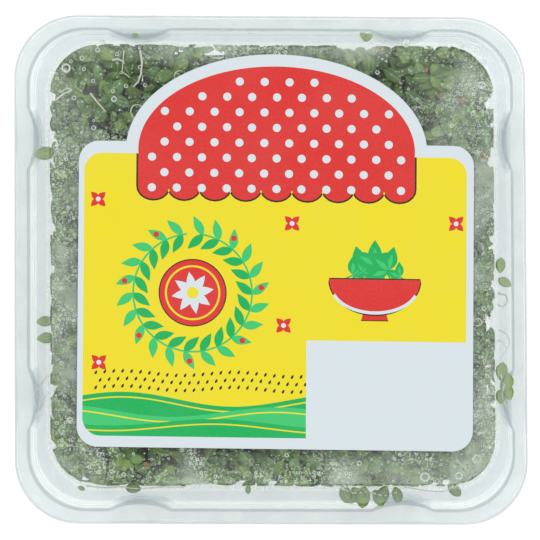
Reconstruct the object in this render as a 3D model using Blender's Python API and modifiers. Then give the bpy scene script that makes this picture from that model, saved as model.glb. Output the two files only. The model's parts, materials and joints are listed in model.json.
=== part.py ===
"""A clear punnet of living alfalfa sprouts: tray, press-on lid, label, root mat and sprout bunches.

Metres, +Z up. The origin is under the middle of the tray, on the surface that it stands on.
The label reads upright to someone who looks down on the lid with +Y away from them.
"""

import math
import random

import bmesh
import bpy
from mathutils import Matrix, Vector

MM = 0.001

# The pressed sheets of the tray and the lid
WALL = 0.45 * MM
CORNER_STEPS = 4
HALF_WIDTH = 65.0 * MM
HEIGHT = 48.0 * MM
LAND_Z = 42.8 * MM
FLANGE_Z = 36.3 * MM

# The snap lugs: two dents in each side of the rim, that hook the lid under the tray's rim
LUG_OFFSET = 33.0 * MM
LUG_HALF = 7.75 * MM
LUG_CLEARANCE = 0.45 * MM
LUG_DEPTH = 2.4 * MM
LUG_FOOT_DEPTH = 0.9 * LUG_DEPTH
LUG_STEPS = 3
RIM_STRAIGHT = 46.4 * MM

# Rings of the lid's upper face, from its panel outwards: half width, corner radius, height, lug depth
LID_RINGS = (
    (56.1 * MM, 12.6 * MM, HEIGHT, 0),
    (56.6 * MM, 12.9 * MM, HEIGHT - 0.5 * MM, 0),
    (57.0 * MM, 13.2 * MM, LAND_Z + 0.5 * MM, 0),
    (57.5 * MM, 13.5 * MM, LAND_Z, 0),
    (60.2 * MM, 13.9 * MM, LAND_Z, 0),
    (60.7 * MM, 14.3 * MM, LAND_Z - 0.5 * MM, 0),
    (60.85 * MM, 14.45 * MM, FLANGE_Z + 3.3 * MM, 0),
    (60.95 * MM, 14.55 * MM, FLANGE_Z + 2.0 * MM, LUG_DEPTH),
    (61.1 * MM, 14.7 * MM, FLANGE_Z + 0.5 * MM, LUG_DEPTH),
    (61.6 * MM, 15.2 * MM, FLANGE_Z, LUG_FOOT_DEPTH),
    (64.5 * MM, 15.9 * MM, FLANGE_Z, 0),
    (HALF_WIDTH, 16.1 * MM, FLANGE_Z - 0.5 * MM, 0),
)

# Rings of the tray's inner face, from its raised floor outwards
TRAY_FLANGE_Z = FLANGE_Z - 0.8 * MM
TRAY_LEDGE_Z = LAND_Z - 1.6 * MM
FLOOR_Z = 2.0 * MM
TRAY_RINGS = (
    (44.0 * MM, 7.6 * MM, FLOOR_Z, 0),
    (45.8 * MM, 8.6 * MM, WALL, 0),
    (48.8 * MM, 9.6 * MM, WALL, 0),
    (50.0 * MM, 10.2 * MM, 1.7 * MM, 0),
    (53.2 * MM, 11.4 * MM, 32.0 * MM, 0),
    (54.0 * MM, 11.8 * MM, 32.6 * MM, 0),
    (54.7 * MM, 12.2 * MM, TRAY_LEDGE_Z - 0.5 * MM, 0),
    (55.2 * MM, 12.5 * MM, TRAY_LEDGE_Z, 0),
    (59.4 * MM, 13.5 * MM, TRAY_LEDGE_Z, 0),
    (59.85 * MM, 13.9 * MM, TRAY_LEDGE_Z - 0.45 * MM, 0),
    (59.95 * MM, 13.95 * MM, FLANGE_Z + 4.0 * MM, 0),
    (60.0 * MM, 14.0 * MM, FLANGE_Z + 2.7 * MM, LUG_DEPTH),
    (60.2 * MM, 14.2 * MM, TRAY_FLANGE_Z + 0.5 * MM, LUG_DEPTH),
    (60.7 * MM, 14.7 * MM, TRAY_FLANGE_Z, LUG_FOOT_DEPTH),
    (64.2 * MM, 15.6 * MM, TRAY_FLANGE_Z, 0),
)

# The label on the lid's panel: a rounded sheet with an arched top
LABEL_WIDTH = 99.9 * MM
LABEL_BODY_HEIGHT = 77.8 * MM
LABEL_CORNER = 5.2 * MM
LABEL_ARCH_HALF = 38.1 * MM
LABEL_ARCH_RISE = 22.7 * MM
LABEL_ARCH_DROP = 2.0 * MM
LABEL_THICK = 0.2 * MM
LABEL_GAP = 0.3 * MM
LABEL_BODY_CENTRE = Vector((0.5 * MM, -8.4 * MM))
LABEL_TURN = math.radians(-0.6)
ARCH_STEPS = 24

# The root mat: a felted slab with a plain hole for the foot of each bunch
MAT_GAP = 0.4 * MM
MAT_TOP_Z = 12.0 * MM
MAT_RINGS = (
    (43.2 * MM, 7.4 * MM, FLOOR_Z + MAT_GAP),
    (48.8 * MM, 9.6 * MM, 3.6 * MM),
    (49.8 * MM, 9.8 * MM, 7.0 * MM),
    (49.2 * MM, 9.6 * MM, 10.3 * MM),
    (47.4 * MM, 9.0 * MM, MAT_TOP_Z),
)
MAT_ROUGHNESS = 0.4 * MM

# The bunches of sprouts: a lattice of uneven cells, one bunch to a cell
BUNCHES_A_SIDE = 3
CANOPY_HALF = 54.1 * MM
CANOPY_CORNER = 11.6 * MM
CANOPY_TOP_Z = HEIGHT - WALL - 0.35 * MM
LATTICE_SHIFT = 3.0 * MM
LATTICE_SPARE = 10.0 * MM
CELL_MARGIN = 0.2 * MM
INTERLOCK = 1.7 * MM
BUNCH_INSET = 0.88
SPROUTS_A_BUNCH = 16

# Each bunch's core of packed stems, rooted in the mat
CORE_SIDES = 11
CORE_FOOT_Z = 4.4 * MM
CORE_TOP_Z = 30.0 * MM
CORE_FOOT_RADIUS = 11.2 * MM
CORE_NECK_RADIUS = 9.4 * MM
CORE_TOP_RADIUS = 11.0 * MM
SOCKET_RISE = 3.0 * MM

# Each sprout: a stem and a pair of seed leaves, larger than life so that few of them cover the top
STEM_SIDES = 3
STEM_FOOT_RADIUS = 0.95 * MM
STEM_TIP_RADIUS = 0.65 * MM
STEM_SINK = 0.25 * MM
PAIR_LENGTH = 15.6 * MM
LEAF_WIDTH = 7.0 * MM
LEAF_THICK = 1.3 * MM
WAIST = 0.42
WAIST_REACH = 0.5
LEAF_SECTION_SIDES = 4
LEAF_RINGS = 6
LEAF_LIFT = 1.8 * MM
LEAF_CURL = 1.6
LEAF_TILT = math.radians(6)
LAYER_DROP = 0.8 * MM
PLACES_TRIED = 400
EDGE_POINTS = ((0.43, 0.25), (0.34, 0.43), (0.2, 0.5))
CROSSING_COST = 3.0 * MM
SEED = 7


def clear_scene():
    for obj in list(bpy.data.objects):
        bpy.data.objects.remove(obj)


def material(name, colour, roughness, alpha=1.0):
    made = bpy.data.materials.new(name)
    made.use_nodes = True
    shader = made.node_tree.nodes["Principled BSDF"]
    shader.inputs["Base Color"].default_value = (*colour, 1.0)
    shader.inputs["Roughness"].default_value = roughness
    shader.inputs["Metallic"].default_value = 0.0
    shader.inputs["Alpha"].default_value = alpha
    return made


def add_object(name, mesh, collection, finish=None):
    obj = bpy.data.objects.new(name, mesh)
    collection.objects.link(obj)
    if finish:
        mesh.materials.clear()
        mesh.materials.append(finish)
    return obj


def mesh_from(name, bm):
    mesh = bpy.data.meshes.new(name)
    bm.to_mesh(mesh)
    bm.free()
    return mesh


# Rounded squares and lofts


def side_stations(lug_half):
    """Places along a side, as shares of its half length, and how far its lugs are pressed in."""
    stations = []
    for centre in (-LUG_OFFSET, LUG_OFFSET):
        for step in range(LUG_STEPS + 1):
            angle = math.pi * step / LUG_STEPS
            along = centre - lug_half * math.cos(angle)
            stations.append((along / RIM_STRAIGHT, math.sin(angle)))
    return stations


def rounded_square(half, corner, z, lug_depth=0.0, stations=()):
    """Points round a rounded square, counterclockwise from above, with its lugs pressed in."""
    points = []
    straight = half - corner
    for quarter in range(4):
        turn = Matrix.Rotation(math.pi / 2 * quarter, 3, "Z")
        for share, pressed in stations:
            points.append(turn @ Vector((half - pressed * lug_depth, share * straight, z)))
        for step in range(CORNER_STEPS + 1):
            angle = math.pi / 2 * step / CORNER_STEPS
            reach = Vector((math.cos(angle), math.sin(angle), 0)) * corner
            points.append(turn @ (Vector((straight, straight, z)) + reach))
    return points


def loft(name, rings, cap_both=False):
    """An open surface through rings of points, with a flat face over the first ring."""
    bm = bmesh.new()
    loops = [[bm.verts.new(point) for point in ring] for ring in rings]
    for inner, outer in zip(loops, loops[1:]):
        for i in range(len(inner)):
            after = (i + 1) % len(inner)
            bm.faces.new((inner[i], inner[after], outer[after], outer[i]))
    bm.faces.new(loops[0])
    if cap_both:
        bm.faces.new(loops[-1])
    bmesh.ops.recalc_face_normals(bm, faces=bm.faces)
    return mesh_from(name, bm)


def pressed_sheet(name, ring_sizes, lug_half, collection, finish):
    """A thermoformed sheet: a lofted surface that Solidify gives its wall, on the under side."""
    stations = side_stations(lug_half)
    rings = [rounded_square(*sizes, stations) for sizes in ring_sizes]
    obj = add_object(name, loft(name, rings), collection, finish)
    if obj.data.polygons[-1].normal.z < 0:
        obj.data.flip_normals()
    solidify = obj.modifiers.new("Wall", "SOLIDIFY")
    solidify.thickness = WALL
    solidify.offset = -1.0
    solidify.use_even_offset = True
    return obj


def make_lid(collection, finish):
    return pressed_sheet("lid", LID_RINGS, LUG_HALF, collection, finish)


def make_tray(collection, finish):
    return pressed_sheet("tray", TRAY_RINGS, LUG_HALF + LUG_CLEARANCE, collection, finish)


# The label


def arc(centre, radius_x, radius_y, start_deg, end_deg, steps):
    points = []
    for step in range(steps + 1):
        angle = math.radians(start_deg + (end_deg - start_deg) * step / steps)
        points.append(centre + Vector((radius_x * math.cos(angle), radius_y * math.sin(angle))))
    return points


def label_outline():
    """The label's edge about its body's centre, counterclockwise from its lower right corner."""
    half, body, corner = LABEL_WIDTH / 2, LABEL_BODY_HEIGHT / 2, LABEL_CORNER
    arch_centre = Vector((0, body - LABEL_ARCH_DROP))
    arch_rise = LABEL_ARCH_RISE + LABEL_ARCH_DROP
    foot = math.degrees(math.asin(LABEL_ARCH_DROP / arch_rise))
    outline = []
    outline += arc(Vector((half - corner, corner - body)), corner, corner, -90, 0, CORNER_STEPS)
    outline += arc(Vector((half - corner, body - corner)), corner, corner, 0, 90, CORNER_STEPS)
    outline += arc(arch_centre, LABEL_ARCH_HALF, arch_rise, foot, 180 - foot, ARCH_STEPS)
    outline += arc(Vector((corner - half, body - corner)), corner, corner, 90, 180, CORNER_STEPS)
    outline += arc(Vector((corner - half, corner - body)), corner, corner, 180, 270, CORNER_STEPS)
    return outline


def make_label(collection, finish):
    curve = bpy.data.curves.new("label", "CURVE")
    curve.dimensions = "2D"
    curve.fill_mode = "BOTH"
    curve.extrude = LABEL_THICK / 2
    outline = label_outline()
    spline = curve.splines.new("POLY")
    spline.points.add(len(outline) - 1)
    for point, place in zip(spline.points, outline):
        point.co = (place.x, place.y, 0, 1)
    spline.use_cyclic_u = True
    curve.materials.append(finish)
    obj = bpy.data.objects.new("label", curve)
    collection.objects.link(obj)
    obj.location = (*LABEL_BODY_CENTRE, HEIGHT + LABEL_GAP + LABEL_THICK / 2)
    obj.rotation_euler = (0, 0, LABEL_TURN)
    return obj


# Joins and cuts


def settle_modifiers(obj):
    """Applies an object's modifiers to its mesh."""
    graph = bpy.context.evaluated_depsgraph_get()
    settled = bpy.data.meshes.new_from_object(obj.evaluated_get(graph))
    obj.modifiers.clear()
    obj.data = settled


def boolean_with(obj, others, operation):
    """Joins or cuts obj with a collection's objects, and removes them."""
    modifier = obj.modifiers.new(operation.title(), "BOOLEAN")
    modifier.operand_type = "COLLECTION"
    modifier.collection = others
    modifier.operation = operation
    modifier.solver = "EXACT"
    settle_modifiers(obj)
    for other in list(others.objects):
        bpy.data.objects.remove(other)
    bpy.data.collections.remove(others)


def helper_collection(name):
    made = bpy.data.collections.new(name)
    bpy.context.scene.collection.children.link(made)
    return made


# The root mat


def bunch_lattice(rng):
    """Corners of the bunches' cells: a square lattice, uneven inside, that runs past the canopy."""
    step = 2 * CANOPY_HALF / BUNCHES_A_SIDE
    ends = {0: -LATTICE_SPARE, BUNCHES_A_SIDE: LATTICE_SPARE}
    corners = {}
    for i in range(BUNCHES_A_SIDE + 1):
        for j in range(BUNCHES_A_SIDE + 1):
            shift_x = rng.uniform(-LATTICE_SHIFT, LATTICE_SHIFT)
            shift_y = rng.uniform(-LATTICE_SHIFT, LATTICE_SHIFT)
            x = i * step - CANOPY_HALF + ends.get(i, shift_x)
            y = j * step - CANOPY_HALF + ends.get(j, shift_y)
            corners[i, j] = Vector((x, y))
    return corners


def bunch_centre(i, j):
    """Where a cell's bunch is rooted: near the plain cell's centre, drawn in a little from the walls."""
    step = 2 * CANOPY_HALF / BUNCHES_A_SIDE
    return Vector(((i + 0.5) * step - CANOPY_HALF, (j + 0.5) * step - CANOPY_HALF)) * BUNCH_INSET


def cone_mesh(name, sides, foot, tip, foot_radius, tip_radius, turn=0.0):
    """A closed tapered prism between two points."""
    bm = bmesh.new()
    axis = tip - foot
    bmesh.ops.create_cone(
        bm,
        cap_ends=True,
        segments=sides,
        radius1=foot_radius,
        radius2=tip_radius,
        depth=axis.length,
        matrix=Matrix.Rotation(turn, 4, "Z"),
    )
    stand = axis.to_track_quat("Z", "Y").to_matrix().to_4x4()
    bm.transform(Matrix.Translation((foot + tip) / 2) @ stand)
    return mesh_from(name, bm)


def make_root_mat(collection, finish):
    rng = random.Random(SEED)
    rings = []
    for half, corner, z in MAT_RINGS:
        ring = rounded_square(half, corner, z, 0.0, side_stations(LUG_HALF))
        for point in ring:
            point.xy += Vector((rng.uniform(-1, 1), rng.uniform(-1, 1))) * MAT_ROUGHNESS
        rings.append(ring)
    mat = add_object("root_mat", loft("root_mat", rings, cap_both=True), collection, finish)
    sockets = helper_collection("sockets")
    for i in range(BUNCHES_A_SIDE):
        for j in range(BUNCHES_A_SIDE):
            centre = bunch_centre(i, j)
            foot = Vector((*centre, CORE_FOOT_Z - MAT_GAP))
            tip = Vector((*centre, MAT_TOP_Z + SOCKET_RISE))
            radius = CORE_FOOT_RADIUS + MAT_GAP / math.cos(math.pi / CORE_SIDES)
            cutter = cone_mesh("socket", CORE_SIDES, foot, tip, radius, radius)
            add_object(f"socket_{i}_{j}", cutter, sockets)
    boolean_with(mat, sockets, "DIFFERENCE")
    return mat


# The bunches of sprouts


def inside_cell(point, cell, margin):
    """True where a point lies a margin inside its cell's edges and clear of the punnet's wall."""
    for start, end in zip(cell, cell[1:] + cell[:1]):
        edge = (end - start).normalized()
        if edge.cross(point - start) < margin:
            return False
    straight = CANOPY_HALF - CANOPY_CORNER
    beyond = Vector((max(abs(point.x) - straight, 0), max(abs(point.y) - straight, 0)))
    return beyond.length < CANOPY_CORNER - CELL_MARGIN


def layer_margin(layer, reaches_high):
    """How far a layer keeps inside its cell. Neighbours reach over each other at unlike heights."""
    third = 3 * layer // SPROUTS_A_BUNCH
    reaching = third == (0 if reaches_high else 2)
    return CELL_MARGIN - INTERLOCK if reaching else CELL_MARGIN + INTERLOCK


def pair_footprint(tip, heading):
    """Points in plan round the edge of a pair of seed leaves."""
    forward = Vector((math.cos(heading), math.sin(heading)))
    across = Vector((-forward.y, forward.x))
    points = []
    for way in (-1, 1):
        points.append(tip + forward * way * PAIR_LENGTH / 2)
        for side in (-1, 1):
            for along, aside in EDGE_POINTS:
                reach = forward * way * along * PAIR_LENGTH
                points.append(tip + reach + across * side * aside * LEAF_WIDTH)
    return points


def leaf_pair_mesh(name, tip, heading, tilt):
    """A pair of seed leaves: a flattened ball with a waist, whose two ends curl up."""
    bm = bmesh.new()
    lay = Matrix.Rotation(math.pi / 2, 4, "Y")
    bmesh.ops.create_uvsphere(
        bm,
        u_segments=LEAF_SECTION_SIDES,
        v_segments=LEAF_RINGS,
        radius=0.5,
        matrix=lay,
    )
    for vertex in bm.verts:
        along = abs(vertex.co.x) * 2
        fullness = WAIST + (1 - WAIST) * min(along / WAIST_REACH, 1)
        vertex.co.x *= PAIR_LENGTH
        vertex.co.y *= LEAF_WIDTH * fullness
        vertex.co.z = vertex.co.z * LEAF_THICK + LEAF_LIFT * along**LEAF_CURL
    turn = Matrix.Rotation(heading, 4, "Z") @ Matrix.Rotation(tilt, 4, "Y")
    bm.transform(Matrix.Translation(tip) @ turn)
    return mesh_from(name, bm)


def stem_crossings(tip, heading, stems):
    """How many earlier stems would run through a pair of seed leaves."""
    forward = Vector((math.cos(heading), math.sin(heading)))
    crossings = 0
    for foot, top in stems:
        offset = foot.lerp(top, (tip.z - foot.z) / (top.z - foot.z)).xy - tip.xy
        near_length = abs(offset.dot(forward)) < PAIR_LENGTH / 2 + STEM_FOOT_RADIUS
        near_width = abs(offset.cross(forward)) < LEAF_WIDTH / 2 + STEM_FOOT_RADIUS
        crossings += near_length and near_width
    return crossings


def place_sprout(cell, margin, layer, stems, rng):
    """The clearest of some random places in a cell: a tip, and its leaves' heading and tilt."""
    middle = sum(cell, Vector((0, 0))) / len(cell)
    reach = CANOPY_HALF / BUNCHES_A_SIDE + LATTICE_SPARE / 2
    tilt = rng.uniform(-LEAF_TILT, LEAF_TILT)
    rise = PAIR_LENGTH / 2 * math.sin(abs(tilt)) + LEAF_LIFT + LEAF_THICK / 4
    tip_z = CANOPY_TOP_Z - rise - layer * LAYER_DROP
    places = []
    while len(places) < PLACES_TRIED:
        tip = middle + Vector((rng.uniform(-1, 1), rng.uniform(-1, 1))) * reach
        heading = rng.uniform(0, math.pi)
        if all(inside_cell(point, cell, margin) for point in pair_footprint(tip, heading)):
            places.append((Vector((*tip, tip_z)), heading, tilt))

    def crowding(place):
        nearest = min(((top.xy - place[0].xy).length for foot, top in stems), default=reach)
        return stem_crossings(place[0], place[1], stems) * CROSSING_COST - nearest

    return min(places, key=crowding)


def make_bunch(name, cell, centre, reaches_high, collection, finish, rng):
    """A bunch: a core of packed stems, with single stems and pairs of seed leaves standing out of it."""
    foot = Vector((*centre, CORE_FOOT_Z))
    neck = Vector((*centre, MAT_TOP_Z))
    top = Vector((*centre, CORE_TOP_Z))
    core = cone_mesh(name, CORE_SIDES, neck, top, CORE_NECK_RADIUS, CORE_TOP_RADIUS)
    bunch = add_object(name, core, collection)
    sprouts = helper_collection(name + "_sprouts")
    plug_top = Vector((*centre, MAT_TOP_Z + STEM_FOOT_RADIUS))
    plug = cone_mesh("plug", CORE_SIDES, foot, plug_top, CORE_FOOT_RADIUS, CORE_FOOT_RADIUS)
    add_object(name + "_plug", plug, sprouts)
    stems = []
    for layer in range(SPROUTS_A_BUNCH):
        margin = layer_margin(layer, reaches_high)
        tip, heading, tilt = place_sprout(cell, margin, layer, stems, rng)
        away = tip.xy - centre
        away.length = min(away.length, CORE_NECK_RADIUS)
        stem_foot = Vector((*(centre + away), MAT_TOP_Z - STEM_FOOT_RADIUS))
        stem_tip = tip + Vector((0, 0, STEM_SINK))
        stems.append((stem_foot, stem_tip))
        radii = (STEM_FOOT_RADIUS, STEM_TIP_RADIUS)
        stem = cone_mesh("stem", STEM_SIDES, stem_foot, stem_tip, *radii, heading)
        add_object(f"{name}_stem_{layer}", stem, sprouts)
        pair = leaf_pair_mesh("pair", tip, heading, tilt)
        add_object(f"{name}_pair_{layer}", pair, sprouts)
    boolean_with(bunch, sprouts, "UNION")
    bunch.data.materials.clear()
    bunch.data.materials.append(finish)


def make_bunches(collection, finish):
    rng = random.Random(SEED)
    corners = bunch_lattice(rng)
    for i in range(BUNCHES_A_SIDE):
        for j in range(BUNCHES_A_SIDE):
            cell = [corners[i, j], corners[i + 1, j], corners[i + 1, j + 1], corners[i, j + 1]]
            name = f"sprout_bunch_{i * BUNCHES_A_SIDE + j + 1:02d}"
            reaches_high = (i + j) % 2 == 0
            make_bunch(name, cell, bunch_centre(i, j), reaches_high, collection, finish, rng)


def main():
    clear_scene()
    punnet = helper_collection("alfalfa_sprouts")
    clear_plastic = material("clear_plastic", (0.86, 0.91, 0.93), 0.12, 0.3)
    printed_paper = material("printed_paper", (0.90, 0.79, 0.06), 0.45)
    roots = material("roots", (0.83, 0.80, 0.66), 0.7)
    green_leaf = material("green_leaf", (0.17, 0.30, 0.10), 0.5)
    make_tray(punnet, clear_plastic)
    make_root_mat(punnet, roots)
    make_bunches(punnet, green_leaf)
    make_lid(punnet, clear_plastic)
    make_label(punnet, printed_paper)


main()
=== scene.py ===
import json
import math
import random

import bmesh
import bpy
import numpy as np
from mathutils import Matrix, Vector
from mathutils.geometry import delaunay_2d_cdt

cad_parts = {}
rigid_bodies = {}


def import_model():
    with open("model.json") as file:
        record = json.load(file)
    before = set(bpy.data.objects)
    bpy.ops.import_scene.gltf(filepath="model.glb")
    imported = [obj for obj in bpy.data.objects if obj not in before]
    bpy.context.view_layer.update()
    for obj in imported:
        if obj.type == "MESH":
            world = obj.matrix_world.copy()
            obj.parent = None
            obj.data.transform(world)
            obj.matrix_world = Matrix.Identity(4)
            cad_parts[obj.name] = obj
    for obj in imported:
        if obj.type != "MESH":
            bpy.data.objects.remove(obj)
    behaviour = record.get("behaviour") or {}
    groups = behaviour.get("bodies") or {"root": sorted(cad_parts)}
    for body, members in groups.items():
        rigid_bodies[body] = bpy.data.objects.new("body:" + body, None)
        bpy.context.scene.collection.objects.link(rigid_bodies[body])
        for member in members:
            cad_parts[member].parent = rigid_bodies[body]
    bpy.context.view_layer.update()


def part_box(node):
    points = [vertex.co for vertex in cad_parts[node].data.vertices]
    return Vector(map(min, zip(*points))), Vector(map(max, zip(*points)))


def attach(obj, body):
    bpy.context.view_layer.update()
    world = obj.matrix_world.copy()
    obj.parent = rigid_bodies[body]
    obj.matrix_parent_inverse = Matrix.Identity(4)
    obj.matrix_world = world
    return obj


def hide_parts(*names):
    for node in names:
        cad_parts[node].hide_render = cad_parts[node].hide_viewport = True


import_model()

MM = 0.001
scene = bpy.context.scene

# The photograph's frame is square
PHOTO_PX = 540

# The punnet's pressed sheets, as its frame has them
LID_HIGH = Vector(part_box("lid")[1])
MAT_LOW, MAT_HIGH = (Vector(corner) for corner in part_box("root_mat"))
HALF_WIDTH = LID_HIGH.x
HEIGHT = LID_HIGH.z
WALL = 0.45 * MM
LAND_Z = HEIGHT - 5.2 * MM
FLANGE_Z = HEIGHT - 11.7 * MM
TRAY_LEDGE_Z = LAND_Z - 1.6 * MM
TRAY_FLANGE_Z = FLANGE_Z - 0.8 * MM
LID_UNDER_Z = HEIGHT - WALL

# The snap lugs, and how finely the sheets are rounded
LUG_OFFSET = 33.0 * MM
LUG_HALF = 7.75 * MM
LUG_CLEARANCE = 0.45 * MM
LUG_DEPTH = 2.4 * MM
LUG_STEPS = 14
RIM_STRAIGHT = 46.4 * MM
CORNER_STEPS = 16
FILLET = 0.8 * MM
FILLET_STEPS = 3

# Bends of each sheet's upper face, from its middle outwards: half width, corner radius, height, lug depth
LID_BENDS = (
    (56.4 * MM, 12.75 * MM, HEIGHT, 0),
    (57.25 * MM, 13.35 * MM, LAND_Z, 0),
    (60.6 * MM, 14.2 * MM, LAND_Z, 0),
    (60.88 * MM, 14.48 * MM, FLANGE_Z + 3.3 * MM, 0),
    (60.95 * MM, 14.55 * MM, FLANGE_Z + 2.1 * MM, LUG_DEPTH),
    (61.2 * MM, 14.8 * MM, FLANGE_Z, LUG_DEPTH),
    (64.6 * MM, 16.0 * MM, FLANGE_Z, 0),
    (HALF_WIDTH, 16.1 * MM, FLANGE_Z - 0.5 * MM, 0),
)
TRAY_BENDS = (
    (44.0 * MM, 7.6 * MM, 2.0 * MM, 0),
    (45.8 * MM, 8.6 * MM, WALL, 0),
    (49.6 * MM, 10.0 * MM, WALL, 0),
    (53.2 * MM, 11.4 * MM, 31.8 * MM, 0),
    (54.0 * MM, 11.8 * MM, 32.6 * MM, 0),
    (54.75 * MM, 12.2 * MM, TRAY_LEDGE_Z, 0),
    (59.75 * MM, 13.8 * MM, TRAY_LEDGE_Z, 0),
    (59.95 * MM, 13.95 * MM, FLANGE_Z + 4.0 * MM, 0),
    (60.0 * MM, 14.0 * MM, FLANGE_Z + 2.7 * MM, LUG_DEPTH),
    (60.35 * MM, 14.3 * MM, TRAY_FLANGE_Z, LUG_DEPTH),
    (64.2 * MM, 15.6 * MM, TRAY_FLANGE_Z, 0),
)

# The camera: far above the punnet, and leaning a little to its left and its near side
CAMERA_DISTANCE = 3000.0 * MM
CAMERA_LEAN = (math.radians(-3.4), math.radians(-7.8))
CAMERA_ROLL = math.radians(-0.23)
CAMERA_TARGET = Vector((-0.23 * MM, -0.2 * MM, FLANGE_Z))
SENSOR = 36.0
PUNNET_WIDTH_PX = 513.5
FRAME_WIDTH = 2 * HALF_WIDTH * PHOTO_PX / PUNNET_WIDTH_PX
CAMERA_LENS = SENSOR * CAMERA_DISTANCE / FRAME_WIDTH
MM_A_PIXEL = FRAME_WIDTH / PHOTO_PX


def camera_pose():
    """The camera's place and axes: it looks at its target, with +Y up in the picture."""
    back = Vector((math.tan(CAMERA_LEAN[0]), math.tan(CAMERA_LEAN[1]), 1)).normalized()
    right = Vector((0, 1, 0)).cross(back).normalized()
    axes = Matrix((right, back.cross(right), back)).transposed()
    pose = axes.to_4x4() @ Matrix.Rotation(CAMERA_ROLL, 4, "Z")
    pose.translation = CAMERA_TARGET + back * CAMERA_DISTANCE
    return pose


CAMERA_POSE = camera_pose()


def at_pixel(pixel_x, pixel_y, z):
    """The point at height z that the camera sees at a pixel of the photograph."""
    middle = PHOTO_PX / 2
    ray = Vector((pixel_x - middle, middle - pixel_y, -CAMERA_LENS / SENSOR * PHOTO_PX))
    ray = CAMERA_POSE.to_3x3() @ ray
    eye = CAMERA_POSE.translation
    return eye + ray * (z - eye.z) / ray.z


def place_camera():
    camera = bpy.data.objects.new("camera", bpy.data.cameras.new("camera"))
    camera.data.sensor_width = SENSOR
    camera.data.lens = CAMERA_LENS
    camera.data.clip_start = 0.1
    camera.matrix_world = CAMERA_POSE
    scene.collection.objects.link(camera)
    scene.camera = camera


# Node trees


def fill(socket, value):
    """Links a socket from another one, or sets its value."""
    if isinstance(value, bpy.types.NodeSocket):
        socket.id_data.links.new(value, socket)
    else:
        socket.default_value = value


def add_node(tree, kind, inputs=None, **settings):
    """A node with its settings, and its inputs by name or number: a value, or a socket to link from."""
    node = tree.nodes.new(kind)
    for setting, value in settings.items():
        setattr(node, setting, value)
    for key, value in (inputs or {}).items():
        fill(node.inputs[key], value)
    return node


def math_node(tree, operation, *values, clamp=False):
    """The result of a Math node on numbers and sockets."""
    inputs = dict(enumerate(values))
    return add_node(tree, "ShaderNodeMath", inputs, operation=operation, use_clamp=clamp).outputs[0]


def chained(tree, operation, values):
    """The result of one operation on a row of values, from the first to the last."""
    result = values[0]
    for value in values[1:]:
        result = math_node(tree, operation, result, value)
    return result


def times(tree, *values):
    return chained(tree, "MULTIPLY", values)


def plus(tree, *values):
    return chained(tree, "ADD", values)


def most(tree, *values):
    return chained(tree, "MAXIMUM", values)


def one_minus(tree, value):
    return math_node(tree, "SUBTRACT", 1.0, value)


def vector_node(tree, operation, first, second):
    return add_node(tree, "ShaderNodeVectorMath", {0: first, 1: second}, operation=operation).outputs[0]


def scaled(tree, vector, factor):
    return add_node(tree, "ShaderNodeVectorMath", {0: vector, "Scale": factor}, operation="SCALE").outputs[0]


def parts_of(tree, vector):
    """A vector's X, Y and Z."""
    return add_node(tree, "ShaderNodeSeparateXYZ", {"Vector": vector}).outputs


def vector_of(tree, *parts):
    return add_node(tree, "ShaderNodeCombineXYZ", dict(enumerate(parts))).outputs[0]


def remap(tree, value, low, high, to_low=0.0, to_high=1.0):
    """A value's smooth step from one range to another."""
    inputs = {"Value": value, "From Min": low, "From Max": high, "To Min": to_low, "To Max": to_high}
    return add_node(tree, "ShaderNodeMapRange", inputs, interpolation_type="SMOOTHSTEP").outputs["Result"]


def mixed(tree, share, first, second):
    """A colour between two, each a socket or red, green and blue."""
    colours = [value if isinstance(value, bpy.types.NodeSocket) else (*value, 1) for value in (first, second)]
    inputs = {0: share, 6: colours[0], 7: colours[1]}
    return add_node(tree, "ShaderNodeMix", inputs, data_type="RGBA").outputs[2]


def noise(tree, vector, scale, detail=2.0, roughness=0.5):
    inputs = {"Vector": vector, "Scale": scale, "Detail": detail, "Roughness": roughness}
    return add_node(tree, "ShaderNodeTexNoise", inputs).outputs["Fac"]


def attribute(tree, name):
    return add_node(tree, "ShaderNodeAttribute", attribute_name=name).outputs["Fac"]


def bump(tree, height, distance, strength=1.0):
    inputs = {"Height": height, "Distance": distance, "Strength": strength}
    return add_node(tree, "ShaderNodeBump", inputs).outputs["Normal"]


def facing(tree):
    """How far a face turns away from the eye: 0 where it faces the eye, 1 at its outline."""
    return add_node(tree, "ShaderNodeLayerWeight", {"Blend": 0.5}).outputs["Facing"]


def shader(tree, kind, inputs=None):
    return add_node(tree, "ShaderNodeBsdf" + kind, inputs).outputs[0]


def mixed_shaders(tree, share, first, second):
    return add_node(tree, "ShaderNodeMixShader", {0: share, 1: first, 2: second}).outputs[0]


def new_group(name, inputs, outputs):
    """A shader node group of numbers, with a vector as its first input. Returns it and its two ends."""
    group = bpy.data.node_groups.new(name, "ShaderNodeTree")
    group.interface.new_socket("Vector", in_out="INPUT", socket_type="NodeSocketVector")
    for label, value in inputs.items():
        group.interface.new_socket(label, in_out="INPUT", socket_type="NodeSocketFloat").default_value = value
    for label in outputs:
        group.interface.new_socket(label, in_out="OUTPUT", socket_type="NodeSocketFloat")
    return group, group.nodes.new("NodeGroupInput").outputs, group.nodes.new("NodeGroupOutput").inputs


def use_group(tree, group, inputs):
    return add_node(tree, "ShaderNodeGroup", inputs, node_tree=group).outputs


def new_material(name):
    """A material with an empty tree. Returns it, its tree and the object's coordinates."""
    material = bpy.data.materials.new(name)
    material.use_nodes = True
    tree = material.node_tree
    tree.nodes.clear()
    return material, tree, add_node(tree, "ShaderNodeTexCoord").outputs["Object"]


def finished(material, surface):
    """The material, with a shader for its surface."""
    add_node(material.node_tree, "ShaderNodeOutputMaterial", {"Surface": surface})
    return material


# Shared effects

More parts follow.
